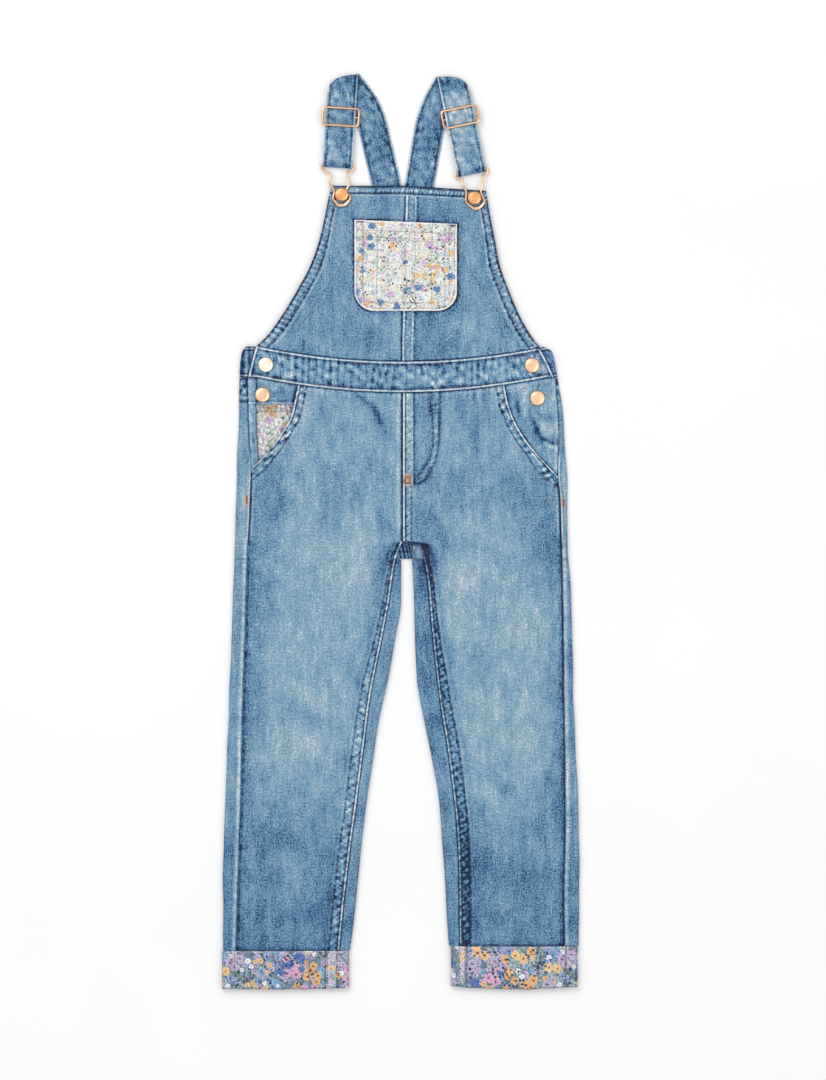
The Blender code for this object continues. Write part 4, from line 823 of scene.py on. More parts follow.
def build_back_leg(name, side):
    outline = OUTLINES[side]
    notch = CROTCH_SIDES[0] - SEAM if side < 0 else CROTCH_SIDES[1] + SEAM
    row_y = np.concatenate((steps_between(YOKE_BOTTOM - SEAM, SEAT_BOTTOM + SEAM, 4.0),
                            steps_between(SEAT_BOTTOM - SEAM, CROTCH_FOLD + 0.5, 1.5),
                            steps_between(CROTCH_FOLD - 1.2, -52, 1.8), steps_between(-54, outline.hem, 2.4)))
    sections, fades = [], []
    for y in row_y:
        radius = fold_radius(y)
        fold = smooth(outline.fold, y) + 0.35 * waves(y, 0.0, 70.0, 60 + side)
        seam = smooth(outline.side, y)
        outer = folded_side(fold, radius, seam, side)
        if y > SEAT_BOTTOM:
            inner = seat_end(CENTRE_BACK + side * SEAM / 2, -side, 0.0)
        elif y > CROTCH_FOLD:
            inner = seat_end(notch, -side, min(math.pi * float(ease((-13.5 - y) / 17.0)), math.pi / 2))
        else:
            inner_fold, inner_seam = smooth(outline.inner, y), smooth(outline.inseam, y)
            inner = folded_side(inner_fold, radius, inner_seam, -side)
        bottom = np.linspace(outer[0, 0] - side, inner[0, 0] + side, 14)
        line = np.concatenate((outer[::-1], np.stack((bottom, np.zeros(14)), -1), inner))
        x = line[:, 0]
        fade = 0.1 + 0.45 * ease((y + 420) / 180.0) + 0.12 * waves(x, np.full_like(x, y), 50.0, 9)
        outside, inside = slice(len(outer)), slice(len(x) - len(inner), None)
        fade[outside] = flap_fade(x[outside], y, fold, seam, side, fade[outside])
        if side > 0:
            fade[inside] -= 0.45 * ease((y + 340) / 170.0)
        if y <= CROTCH_FOLD:
            fade[inside] = flap_fade(x[inside], y, inner_fold, inner_seam, -side, fade[inside], 0.1)
            # Painted shade on the inner flap near the crotch, where the fronts lie over it.
            fade[inside] -= 0.9 * ease((y + 75) / 48.0) * bell(x[inside] - inner_seam, 9.0)
        if side > 0:
            line, fade = line[::-1], fade[::-1]
        sections.append(line)
        fades.append(fade)
    return wrapped_shell(name, sections, row_y, WALL, fades)


# ---- back waistband and yokes ----------------------------------------------------------------
def waist_end(side, y):
    """x of the front waistband's end: it slants outwards from top to bottom."""
    upper, lower = WAIST_ENDS[side]
    return upper + (lower - upper) * np.minimum((WAIST_TOP + WAIST_RISE - y) / SLANT_HEIGHT, 1.0)


# The rows of the back waistband, as shares of its height: close together at its sewn edges.
BACK_BAND_ROWS = (0, 0.02, 0.045, 0.07, 0.095, 0.12, 0.16, 0.24, 0.33, 0.42, 0.5,
                  0.58, 0.67, 0.76, 0.84, 0.88, 0.905, 0.93, 0.955, 0.98, 1)


def build_back_band():
    sections, row_ys, fades = [], [], []
    height = WAIST_TOP - WAIST_BOTTOM
    for share in BACK_BAND_ROWS:
        level = WAIST_TOP - SEAM / 2 - share * (height - SEAM)
        halves = {}
        for side in (-1, 1):
            y = level + waist_sag(side * WAIST_HALF)
            fold = float(smooth(OUTLINES[side].fold, y))
            start = fold - side * BACK_BAND_RADIUS
            reach = max(side * (start - waist_end(side, y)) - 1.0, 0.6) * np.linspace(0, 1, 8)[1:]
            flap = np.stack((start - side * reach, np.full(7, 2 * BACK_BAND_RADIUS)), -1)
            halves[side] = np.concatenate((fold_arc(fold, BACK_BAND_RADIUS, side), flap))
        bottom = np.linspace(halves[-1][0, 0] + 2, halves[1][0, 0] - 2, 38)
        line = np.concatenate((halves[-1][::-1], np.stack((bottom, np.zeros_like(bottom)), -1), halves[1]))
        x = line[:, 0]
        ys = level + waist_sag(x)
        edge = min(share, 1 - share) * height
        lines = bells(edge, (1.5, 2.0, 0.7), (-1.2, 0, 0.9), (-1.5, 3.7, 0.9))
        fades.append(0.5 * puckers(x, 6.0, 81) + 0.7 * waves(x, ys, 9.0, 82) + lines)
        sections.append(line)
        row_ys.append(ys)
    return wrapped_shell("denim_back_waistband", sections, row_ys, BACK_BAND_WALL, fades)


# The right side's bulky seams show as dark or pale marks: amount, y and width.
RIGHT_YOKE_MARKS = ((-1.1, 149.5, 2.0), (0.9, 143.5, 2.0), (-0.9, 136.5, 2.0), (1.0, 130.0, 2.0))


def build_back_yoke(name, side):
    outline = OUTLINES[side]
    radius = fold_radius(YOKE_BOTTOM)
    sections, row_ys, fades = [], [], []
    for share in steps_between(0, 1, 0.07):
        def row_y(x):
            top = WAIST_BOTTOM + waist_sag(x) - 1.5 * SEAM
            return top + (YOKE_BOTTOM + SEAM / 2 - top) * share

        y = float(row_y(side * WAIST_HALF))
        fold, seam = smooth(outline.fold, y), smooth(outline.side, y)
        outer = folded_side(fold, radius, seam, side)
        bottom = np.linspace(outer[0, 0] - side * 2, CENTRE_BACK + side * SEAM / 2, 20)
        line = np.concatenate((outer[::-1], np.stack((bottom, np.zeros_like(bottom)), -1)))
        x = line[:, 0]
        ys = row_y(x)
        fade = 0.4 + 0.1 * waves(x, ys, 40, 7)
        outside = slice(len(outer))
        fade[outside] = flap_fade(x[outside], y, fold, seam, side, fade[outside])
        near_seam = ys - YOKE_BOTTOM
        above = ease((near_seam - 5.0) / 2.0)
        fade += band(near_seam, 4.5) * (0.1 + 0.6 * puckers(x + ys, 4.0, 83)) - 0.75 * above
        fade += bells(near_seam, (1.2, 4.6, 0.9), (-1.5, 2.6, 0.9), (-1.3, 0, 1.2))
        streak = side * (x - seam) - 1.0 - 0.4 * (near_seam - 5.0)
        fade += above * (0.9 * bell(streak, 1.2) + 0.8 * waves(x, ys, 6.5, 84))
        if side > 0:
            fade += bells(ys, *RIGHT_YOKE_MARKS)
            line, ys, fade = line[::-1], ys[::-1], fade[::-1]
        sections.append(line)
        row_ys.append(ys)
        fades.append(fade)
    return wrapped_shell(name, sections, row_ys, WALL, fades)


def build_crotch_band():
    """The end of the seat seam: flat below, round the fold between the legs and up under the fronts."""
    radius = FLAP_TOP / 2
    angles = math.pi * np.arange(13) / 12
    start = steps_between(SEAT_BOTTOM - SEAM, CROTCH_FOLD + radius + 0.6, 1.5)
    end = (*np.arange(CROTCH_FOLD + radius + 0.8, -13.2, 0.7), -12.9, -12.5, -11, -9, -7.5, -6.0)
    y = np.concatenate((start, CROTCH_FOLD + radius * (1 - np.sin(angles)), end))
    z = np.concatenate((np.zeros(len(start)), radius * (1 - np.cos(angles)), np.full(len(end), FLAP_TOP)))
    moved = offset_line(np.stack((-y, z), -1), WALL)
    wide = np.concatenate((np.zeros(len(y) - 5), np.ones(5)))[:, None]
    low = CROTCH_SIDES[0] - 4.0 * wide
    high = CROTCH_SIDES[1] + 13.0 * wide
    x = low + (high - low) * np.linspace(0, 1, 34)
    lines = (y, z, -moved[:, 0], moved[:, 1], run_along(np.stack((y, z), -1)))
    y, z, under_y, under_z, run = (np.tile(line[:, None], (1, 34)) for line in lines)
    outer, inner = np.stack((x, y, z), -1), np.stack((x, under_y, under_z), -1)
    # Painted shade: the band is darkened all over where it lies under the fronts' crotch, with a darker
    # painted line across it at y -19, over light and dark puckers.
    fade = 1.05 * puckers(x + 0.2 * y, 3.4, 91) - 0.5 - 0.5 * bell(y + 19.0, 1.0) * (z > 2)
    return shell("denim_crotch_band", outer, inner, np.stack((x, run), -1) * MM, fade, DENIM)


# ---- hips ------------------------------------------------------------------------------------
HIP_OVERLAP = 14.0


def hip_piece(name, side, inset, thickness, material, fade_of, print_start=(0.0, 0.0)):
    """A pocket bag or facing, from the garment's side to past the pocket mouth."""
    outline = OUTLINES[side]
    row_y = steps_between(148, 44, 1.5)
    row = row_y[:, None]
    outer = smooth(outline.side, row) - side * inset
    inner = smooth(outline.mouth, row) - side * HIP_OVERLAP
    across = np.linspace(0, 1, 46) * side * (outer - inner)
    x = outer - side * across
    top = WAIST_BOTTOM + waist_sag(x) - SEAM / 2
    y = row + (top - 148.0) * ease((row - 134.0) / 14.0)
    thickness = thickness + edge_drop(across, 0.6)
    under = np.full_like(x, FRONT_UNDER)
    return face_up(name, x, y, under, thickness, fade_of(x, y, across), material, print_start=print_start)


def bag_fade(x, y, across):
    # Painted shadow along the outside of the pocket mouth's edge, and a painted shadow line under the left
    # facing's edge, 8 mm in from the side.
    fade = bells(side_gap(x, y, -1), (-0.3, 0, 1.6), (-0.12, 0, 7.0)) - 0.25 - 0.3 * band(128.0 - y, 8.0)
    fade += bells(y, (0.7, 127.6, 0.9), (-0.35, 128.9, 0.6)) + 0.3 * waves(x, y, 6.0, 15)
    return fade - 0.4 * bell(x - smooth(LEFT_SIDE, y) - 8.0, 1.2)


def side_gap(x, y, side):
    """How far a point lies outside the pocket mouth's edge."""
    return np.clip(side * (x - smooth(OUTLINES[side].mouth, y)), 0.0, None)


# Folds on the right facing that are only painted: shade in their troughs and a painted highlight on their
# ridges.
PAINTED_FACING_FOLDS = creases(
    (116, 142, 119, 112, 2.4, 0.6), (129, 130, 138, 86, 3.5, 0.5), (124, 146, 126, 108, 3.0, -0.4),
    (134, 123, 157, 109, 4.5, 0.35), (140, 114, 154, 95, 5.0, -0.4), (131, 118, 147, 76, 2.6, 0.55),
    (138, 95, 159, 87, 1.7, 0.8), (140, 91, 158, 83, 1.9, -0.6),
)


def facing_fade(x, y, across):
    below = ease((93.0 - y) / 4.0)
    fade = 0.52 + 0.12 * waves(x, y, 30, 12) + 0.2 * waves(x, y, 9.0, 13)
    # Painted shadow beside the pocket mouth's edge, where the front lies over the facing.
    fade += bells(side_gap(x, y, 1), (-1.3, 0, 1.5), (-0.25, 0, 6.0))
    # Painted shade and highlights of the facing's folds.
    fade -= 1.4 * crease_depth(x, y, PAINTED_FACING_FOLDS)
    # Painted shadow: a dark line along the waistband's lower edge.
    fade += bells(waist_gap(x, y), (-1.3, 0, 1.2), (0.45, -3.0, 1.5))
    return fade + bells(across, (0.5 + 0.3 * below, 2.0, 1.5), (-0.2 - below, 0.3, 0.9))


FACING_BOTTOM = 128.4


def build_left_facing():
    near = FACING_BOTTOM + np.array((0.5, 0.0, -0.7))
    row_y = np.concatenate((steps_between(150, FACING_BOTTOM + 1.2, 1.4), near,
                            steps_between(FACING_BOTTOM - 2, 65.2, 2.2)))
    row = row_y[:, None]
    outer = smooth(LEFT_SIDE, row)
    at_mouth = smooth(LEFT_MOUTH, row) - 0.6
    inner = np.where(row >= FACING_BOTTOM, at_mouth, np.minimum(outer + 8.0, at_mouth))
    across = np.linspace(0, 1, 34) * (inner - outer)
    x = outer + across
    top = WAIST_BOTTOM + waist_sag(x) - SEAM
    y = row + (top - 150.0) * ease((row - 136.0) / 14.0)
    from_mouth = np.clip(inner - outer - across, 0, None)
    upper = 1.0 - (y < FACING_BOTTOM - 1)
    relief = edge_form(across, 3.0) + edge_drop(np.abs(y - FACING_BOTTOM + 0.6), 0.5)
    fade = 0.35 + 0.3 * waves(x, y, 12, 14) + 0.3 * band(across, 8.0)
    # Painted shadow beside the pocket mouth's edge, where the front lies over the facing.
    fade += bells(from_mouth, (-1.4 * upper, 0, 1.8), (-0.35 * upper, 0, 7.0), (0.5 * upper - 0.5, 0, 1.0))
    fade += bells(y - FACING_BOTTOM, (0.9, 0.8, 0.7), (-0.8, 3.2, 0.9))
    # Painted shadow along the waistband's lower edge.
    fade += bells(waist_gap(x, y), (-1.3, 0, 1.2), (0.3, -3.0, 1.5))
    fade += bells(across, (0.45, 1.6, 1.2), (-1.5, 8.7, 0.9), (-1.2, 0, 0.7))
    under = np.full_like(x, FRONT_UNDER + THIN_WALL + LAYER_GAP)
    return face_up("denim_hip_facing_left", x, y, under, WALL + relief, fade, DENIM)


# ---- front waistband -------------------------------------------------------------------------
END_ROUNDING = 1.9  # how far a worn upper corner of the waistband is rounded off
HALF_BAND = 145.0  # about half the waistband's length, to place points near its ends


def build_waistband():
    height = WAIST_TOP - WAIST_BOTTOM - SEAM
    ends = NEAR_EDGE[:9]
    down = np.concatenate((ends, steps_between(6.5, height - 6.5, 1.4), height - ends[::-1]))[:, None]
    share = down / height
    slant = WAIST_TOP + WAIST_RISE - SLANT_HEIGHT * share
    near_end = np.array((0, 0.3, 0.8, 1.5, 2.5, 4.0)) / HALF_BAND
    reach = np.concatenate((np.linspace(0, 1, 96)[:-1] * (1 - 5.5 / HALF_BAND), 1 - near_end[::-1]))
    columns = []
    for side in (-1, 1):
        end = waist_end(side, slant) - (0.5 + side) * END_ROUNDING * (1 - np.sqrt(ease(down / 5.0)))
        half = WAIST_MIDDLE + (end - WAIST_MIDDLE) * reach
        columns.append(half[:, :0:-1] if side < 0 else half)
    x = np.concatenate(columns, axis=1)
    y = WAIST_TOP + waist_sag(x) - SEAM / 2 - down
    from_edge = np.minimum(down, height - down)
    from_end = np.minimum(x - waist_end(-1, slant), waist_end(1, slant) - x)
    tilt = down * (0.25 + 0.5 * waves(x, 0, 60, 30))
    gather = puckers(x + tilt, 6.8, 31)
    fine = puckers(x - 0.8 * tilt, 4.3, 33)
    strength = 0.35 + 0.65 * bell(from_edge - 5.5, 6.0) * (0.7 + 0.5 * waves(x, y, 50, 38))
    relief = BAND_CROWN * ease(from_edge / 3.5) + 0.25 * strength * gather * ease(from_edge / 2.0)
    relief += edge_form(from_edge, 3.0) + edge_drop(from_end, 0.9) * 0.6 - 0.2 * bell(from_end - 2.8, 0.9)
    relief += 0.14 * fine * strength
    dashes = bell(down - 13.5 - 2.0 * waves(x, 0, 70, 37), 1.3) * ease((puckers(x, 19.0, 36) - 0.1) / 0.5)
    fade = 0.5 + 0.12 * waves(x, y, 45, 34) + strength * (0.8 * gather + 0.75 * fine) - 0.9 * dashes
    # Besides a mottle, a thin dark line at both long edges is painted shadow at the band's raised edge.
    fade += 0.6 * waves(x, 0.7 * y, 8.0, 39) * ease(from_edge / 4.0) - 0.9 * bell(from_edge, 0.5)
    fade += edge_wear(from_edge, 1.1, 3.0) * ease((from_end - 1.2) / 2.0) + edge_wear(from_end, 1.1, 3.0)
    under = np.full_like(x, WAIST_UNDER)
    return face_up("denim_front_waistband", x, y, under, BAND_WALL + relief, fade, DENIM, weave_turned=True)


# ---- bib -------------------------------------------------------------------------------------
LEFT_BIB = ((346.5, -69), (318.5, -75), (294.5, -81), (270.5, -90), (246.5, -103), (222.5, -117),
            (198.5, -133), (186.8, -143.2))
RIGHT_BIB = ((341.5, 86), (318.5, 90), (294.5, 95), (270.5, 100), (246.5, 109), (222.5, 119),
             (198.5, 132), (186.8, 140.2))
BACK_BIB_HALF = ((338, 33), (318, 42), (294, 52), (270, 64), (246, 79), (222, 95), (200, 112), (186, 128))
BACK_BIB_MIDDLE = 4.0
BIB_TOP = 346.5
BIB_DROP = 5.0
BIB_HEM = 9.5
SIDE_HEM = 8.5
BIB_FELLED = 11.5
BIB_SEAM = ((BIB_TOP, 6), (190, 2))
POCKET_TOP = 312.5
POCKET_DROP = 4.2
POCKET_BOTTOM = 221.4
POCKET_SIDES = (-45.6, 57.0)
POCKET_CORNER = 20.0
POCKET_HEM = 19.0
POCKET_TUCKS = (-36.5, -23.0, 5.6, 14.8, 31.5, 44.5)
BIB_CREASES = creases(
    (-118, 198, -70, 232, 11, 0.35), (112, 200, 72, 226, 10, 0.35), (-60, 178, -44, 214, 8, 0.3),
    (30, 176, 40, 208, 8, 0.3), (70, 262, 92, 300, 9, 0.3), (-88, 250, -66, 292, 8, 0.3),
    (66, 330, 84, 300, 8, 0.3), (-20, 172, -30, 200, 7, 0.25),
)


def bib_line(side):
    return LEFT_BIB if side < 0 else RIGHT_BIB


def bib_top(x):
    return BIB_TOP - BIB_DROP * np.maximum((x - 6.0) / 80.0, 0.0)


def bib_slope(side, y):
    """The share of a sideways run that is square to the bib's slanting side."""
    return 1 - (0.28 if side < 0 else 0.25) * ease((318 - y) / 60.0)


def pocket_top(x):
    left, right = POCKET_SIDES
    return POCKET_TOP - POCKET_DROP * (x - left) / (right - left)


def pocket_gap(x, y):
    """How far a point lies outside the bib pocket's outline; below 0 it is under the pocket."""
    left, right = POCKET_SIDES
    beside = np.maximum(left - x, x - right)
    round_x = beside + POCKET_CORNER
    round_y = POCKET_BOTTOM + POCKET_CORNER - y
    in_corner = (round_x > 0) & (round_y > 0)
    straight = np.maximum(beside, np.maximum(y - pocket_top(x), POCKET_BOTTOM - y))
    return np.where(in_corner, np.hypot(round_x, round_y) - POCKET_CORNER, straight)


def build_bib(name, side):
    line = bib_line(side)
    height = BIB_TOP - WAIST_TOP
    from_top = np.concatenate((NEAR_EDGE, steps_between(16, height - 8, 2.0), height - NEAR_EDGE[9::-1]))
    from_top = from_top[:, None]
    share = from_top / height
    edge = smooth(line, line[0][0] + (line[-1][0] - line[0][0]) * share)
    seam = smooth(BIB_SEAM, BIB_TOP - from_top) + side * SEAM / 2
    across = columns_between(side * (edge - seam)[:, 0], 34)
    x = edge - side * across
    y = bib_top(x) + (WAIST_TOP + waist_sag(x) + SEAM / 2 - bib_top(x)) * share
    from_seam = side * (x - seam)
    from_bottom = height - from_top
    from_side = across * bib_slope(side, y)

    top_gather = puckers(x + 0.35 * from_top, 3.5, 41)
    side_gather = puckers(y + 0.5 * from_side, 4.6, 43 + side)
    seam_gather = puckers(y + 0.5 * from_seam, 4.8, 47)
    waist_gather = puckers(x, 6.5, 49) * ease((16.0 - from_bottom) / 16.0)
    top_hem = band(from_top, BIB_HEM)
    plain = 1 - top_hem
    side_hem = band(from_side, SIDE_HEM)
    fell = band(from_seam, BIB_FELLED) if side > 0 else np.zeros_like(x)
    inner_side = bell(from_side - SIDE_HEM - 3, 3.0) * plain
    relief = HEM_RAISE * np.maximum(np.maximum(top_hem, side_hem), fell) + 0.26 * top_hem * top_gather
    relief += plain * (0.24 * side_hem * side_gather + 0.2 * fell * seam_gather)
    relief += edge_drop(from_top, 0.9) + edge_drop(from_side, 0.9) * 0.8
    relief += bells(from_top, (-0.2, 2.2, 0.9), (-0.2, 7.6, 0.9))
    relief += 0.16 * waist_gather - 0.14 * inner_side * (1 + side_gather)
    crown = BIB_CROWN * ease((y - WAIST_TOP) / 60.0) * ease((BIB_TOP - y) / 60.0)
    wrinkle = crease_depth(x, y, BIB_CREASES) + 0.08 * waves(x, y, 45, 50)
    free = ease((from_side - SIDE_HEM) / 8.0) * ease((from_top - BIB_HEM) / 8.0)
    under = BIB_UNDER + crown - np.clip(wrinkle, -0.3, 0.6) * free

    fade = 0.38 + 0.12 * waves(x, y, 55, 51) + 0.06 * waves(x, y, 22, 52) + 0.12 * bell(y - 262, 40.0)
    fade += top_hem * (0.35 + 1.4 * top_gather) * bell(from_top - 4.8, 2.4)
    fade += bells(from_top, (-1.7, 0, 1.7), (-1.6, 7.6, 1.0), (1.0, BIB_HEM + 0.1, 0.8))
    wash = side_hem * (0.15 + 0.8 * side_gather + 0.6 * waves(x, y, 5.5, 54)) - 0.15 * inner_side
    wash += bells(from_side, (0.35, 2.6, 0.8), (-1.6, 0.6, 1.1), (-1.3, 7.4, 0.85), (0.95, 9.2, 0.8))
    if side > 0:
        wash += bells(from_seam, (1.3, 1.3, 0.75), (-0.6, 3.0, 0.7), (1.2, 9.9, 0.75), (-0.85, 12.0, 1.2))
        wash += fell * (0.25 + 0.6 * seam_gather + 0.5 * waves(x, y, 5.0, 53))
    else:
        # Painted shade in the crack along the centre seam, beside the right front's felled band.
        wash += bells(from_seam, (-1.6, 0, 1.2), (0.3, 3.5, 1.5))
    # Painted shadow around the outside of the bib pocket.
    fade += plain * wash + bells(pocket_gap(x, y), (-1.6, 0.6, 1.0), (-0.2, 3.0, 3.0))
    # Painted shadow: a dark line at the bib's foot, along the waistband's upper edge.
    fade += 0.38 * waist_gather - 1.3 * bell(from_bottom, 1.1)
    return face_up(name, x, y, under, WALL + relief, fade, DENIM)


def build_back_bib():
    row = steps_between(338, 186, 2.4)[:, None]
    half = smooth(BACK_BIB_HALF, row)
    part = np.linspace(-1, 1, 56)
    x = BACK_BIB_MIDDLE + half * part
    low = WAIST_TOP + waist_sag(x) + 2 * SEAM
    y = row + (low - 186.0) * ease((206.0 - row) / 20.0)
    from_side = half * (1 - np.abs(part))
    fade = 0.35 + 0.1 * waves(x, y, 50, 55) + band(from_side, SIDE_HEM) * 0.45 * puckers(y, 6.0, 56)
    fade += bells(from_side, (-0.7, SIDE_HEM + 0.4, 1.0), (-0.6, 0, 0.9))
    thickness = WALL + edge_drop(from_side, 0.5)
    return face_up("denim_back_bib", x, y, np.zeros_like(x), thickness, fade, DENIM)


# ---- bib pocket ------------------------------------------------------------------------------
def build_bib_pocket():
    left, right = POCKET_SIDES
    height = POCKET_TOP - POCKET_BOTTOM
    straight = height - POCKET_CORNER
    corner = straight + POCKET_CORNER * np.sin(np.linspace(0.0, 0.5 * math.pi, 22))
    from_top = np.concatenate((NEAR_EDGE[:9], steps_between(6.5, straight - 1.5, 1.6), corner))
    into_corner = np.maximum(from_top - straight, 0)
    inset = POCKET_CORNER - np.sqrt(np.maximum(POCKET_CORNER ** 2 - into_corner ** 2, 1.0))
    low, high = left + inset, right - inset
    x = low[:, None] + columns_between(high - low, 50, NEAR_EDGE[:10])
    from_top = from_top[:, None]
    share = from_top / height
    y = POCKET_TOP - from_top - (POCKET_TOP - pocket_top(x)) * (1 - share)
    from_side = np.minimum(x - left, right - x)
    from_bottom = height - from_top
    round_x = np.maximum(POCKET_CORNER - from_side, 0)
    round_y = np.maximum(POCKET_CORNER - from_bottom, 0)
    rounded_edge = POCKET_CORNER - np.hypot(round_x, round_y)
    from_edge = np.where((round_x > 0) & (round_y > 0), rounded_edge, np.minimum(from_side, from_bottom))
    seam = smooth(BIB_SEAM, y + 8.0)
    ridge = ease((x - seam + 2.6) / 2.6) * ease((seam + BIB_FELLED + 2.8 - x) / 2.6)
    under = BIB_UNDER + BIB_CROWN + WALL + LAYER_GAP + HEM_RAISE * ridge
    gather = puckers(x + 0.3 * y, 6.5, 61)
    edge_gather = puckers(x - y, 6.0, 63)
    relief = 0.6 * band(from_top, POCKET_HEM) + edge_drop(from_edge, 0.8) + edge_drop(from_top, 0.8)
    relief += 0.25 * (1 + waves(x, y, 32, 64)) * ease(from_edge / 12.0)
    relief += 0.16 * (1 + edge_gather) * bell(from_edge - 5.0, 3.0)
    relief += 0.1 * (1 + gather) * bell(from_top - 12, 7)
    fade = bells(from_edge, (1.6, 0.9, 0.9), (-0.2, 2.8, 0.7), (-0.26, 8.6, 0.8))
    fade += bells(from_top, (1.6, 0.7, 0.9), (-0.34, POCKET_HEM, 0.8), (-0.34, 10.4, 0.8))
    # At each tuck the cloth is darkened as painted shade in its groove, with a paler line beside it.
    for tuck in POCKET_TUCKS:
        beside = x - tuck - 0.4 * np.sin(y / 9.0 + tuck)
        fade += bells(beside, (-0.3, 0, 0.7), (0.14, 2.0, 1.2))
        relief -= 0.12 * bell(beside, 1.3)
    return face_up("flower_bib_pocket", x, y, under, THIN_WALL + relief, fade, PALE_PRINT)


# ---- turn-ups --------------------------------------------------------------------------------
CUFF_WALL = 2.4
CUFF_HEIGHT = 7.3
CUFF_ROUND = 3.6
CUFF_EDGE_DROP = 0.8
CUFF_LENGTH = 39.0
CUFF_ENDS = np.array((0, 0.25, 0.6, 1.1, 1.8, 2.6))  # points near a turn-up's two ends
Cuff = namedtuple("Cuff", "side left right top bottom_side bottom_middle band_left band_right print_start")
CUFFS = {
    "cuff_left": Cuff(-1, -177.8, -51.0, HEM_LEFT - 0.6, -455.5, -456.3, -74.0, -62.0, (-14.0, 131.0)),
    "cuff_right": Cuff(1, 51.0, 177.6, HEM_RIGHT - 0.6, -453.5, -456.0, 57.0, 66.0, (89.0, 131.0)),
}


def cuff_ring(cuff, height, inset):
    """A turn-up's section: from the middle of its underside round the right, over and back."""
    radius = CUFF_ROUND - inset
    turns = math.pi * np.arange(13) / 12
    swing = (height / 2 - inset) * np.cos(turns)
    bulge = radius * np.sin(turns)
    flat_left, flat_right = cuff.left + CUFF_ROUND, cuff.right - CUFF_ROUND
    middle = (cuff.left + cuff.right) / 2
    over = np.linspace(flat_right, flat_left, 74)[1:-1]
    right, left = np.linspace(middle, flat_right, 20)[:-1], np.linspace(flat_left, middle, 20)[1:-1]
    x = np.concatenate((right, flat_right + bulge, over, flat_left - bulge, left))
    z = np.concatenate((np.full_like(right, inset), height / 2 - swing, np.full_like(over, height - inset),
                        height / 2 + swing, np.full_like(left, inset)))
    return x, z


def build_cuff(name, cuff):
    down = np.concatenate((CUFF_ENDS, steps_between(3.8, 34.5, 1.5), CUFF_LENGTH - CUFF_ENDS[::-1]))

    def place(x, share):
        side_share = np.minimum(np.abs(2 * (x - cuff.left) / (cuff.right - cuff.left) - 1), 1.0) ** 2
        bottom = cuff.bottom_middle + (cuff.bottom_side - cuff.bottom_middle) * side_share
        uneven = 0.35 * waves(x, 0, 26.0, 70)
        return cuff.top + 0.4 * uneven + (bottom + uneven - cuff.top) * share

    outer, inner, cloths, fades = [], [], [], []
    for distance in down:
        from_end = min(distance, CUFF_LENGTH - distance)
        height = CUFF_HEIGHT + CUFF_EDGE_DROP * (ease(from_end / 2.6) - 1)
        x, z = cuff_ring(cuff, height, 0.0)
        inner_x, inner_z = cuff_ring(cuff, height, CUFF_WALL)
        upper = (z > CUFF_HEIGHT * 0.6).astype(float)
        seam_band = ease((x - cuff.band_left) / 1.2) * ease((cuff.band_right - x) / 1.2)
        rise = ease(from_end / 4.0) * (0.3 * seam_band + 0.14 * waves(x, 3.0 * distance, 36, 72))
        rise = upper * (rise + 0.12 * puckers(x, 8.0, 71) * bell(from_end - 4.5, 3.0))
        outer.append(np.stack((x, place(x, distance / CUFF_LENGTH), z + rise), -1))
        inner.append(np.stack((inner_x, place(inner_x, distance / CUFF_LENGTH), inner_z), -1))
        run = run_along(np.stack((x, z), -1))
        cloths.append((np.stack((run, np.full_like(run, distance)), -1) + cuff.print_start) * MM)
        lines = bells(x, (-1.0, cuff.band_left, 0.8), (-1.0, cuff.band_right, 0.8))
        for line in (cuff.left + 9.0, cuff.left + 87.5, cuff.right - 12.0):
            lines -= 0.8 * bell(x - line - 0.5 * np.sin(0.2 * distance), 0.7)
        fade = upper * (0.85 * lines + 0.5 * seam_band) + 0.08 * waves(x, distance, 18, 73)
        # Painted shade: darker at the turn-up's two rounded ends and along its lower edge.
        fade += bells(x, (-0.15, cuff.left, 1.6), (-0.15, cuff.right, 1.6))
        fade += bells(distance, (0.35, 0.6, 0.8), (-0.6, CUFF_LENGTH, 1.3), (-0.1, 5.0, 1.0))
        fades.append(fade)
    grids = (np.array(grid) for grid in (outer, inner, cloths, fades))
    return shell("flower_" + name, *grids, DEEP_PRINT, ring=True)


# ---- straps ----------------------------------------------------------------------------------
STRAP_WIDTH = 29.4
STRAP_WALL = 1.4
ROLL_RADIUS = 2.6  # of the fold at the shoulder, where the strap turns to the back
ROLL_DOME = 2.6  # how far the roll's outer corner slumps
ROLL_CROWN = 2.6  # how far its middle stands out
BACK_STEP = 1.9  # between the back run's rows of points
WIRE = 1.0  # radius
SLIDER_HALF = (18.0, 8.75)
SLIDER_Z = 6.1
SLIDER_FROM_TOP = 35.0
HOOK_BAR_Z = 2.7
HOOK_Z = 6.0
WRAP = 2.0  # radius of the strap's turn round the hook's bar
Strap = namedtuple("Strap", "side foot top roll_tilt back_start back_end")
STRAPS = {
    "left": Strap(-1, (-62.3, 367.2), (-57.0, 450.2), 18.2, 37.0, 10.0),
    "right": Strap(1, (71.4, 360.6), (53.2, 449.6), 10.2, 29.0, 7.0),
}
BEND_LENGTH = 56.0  # the back run turns towards the middle over this length
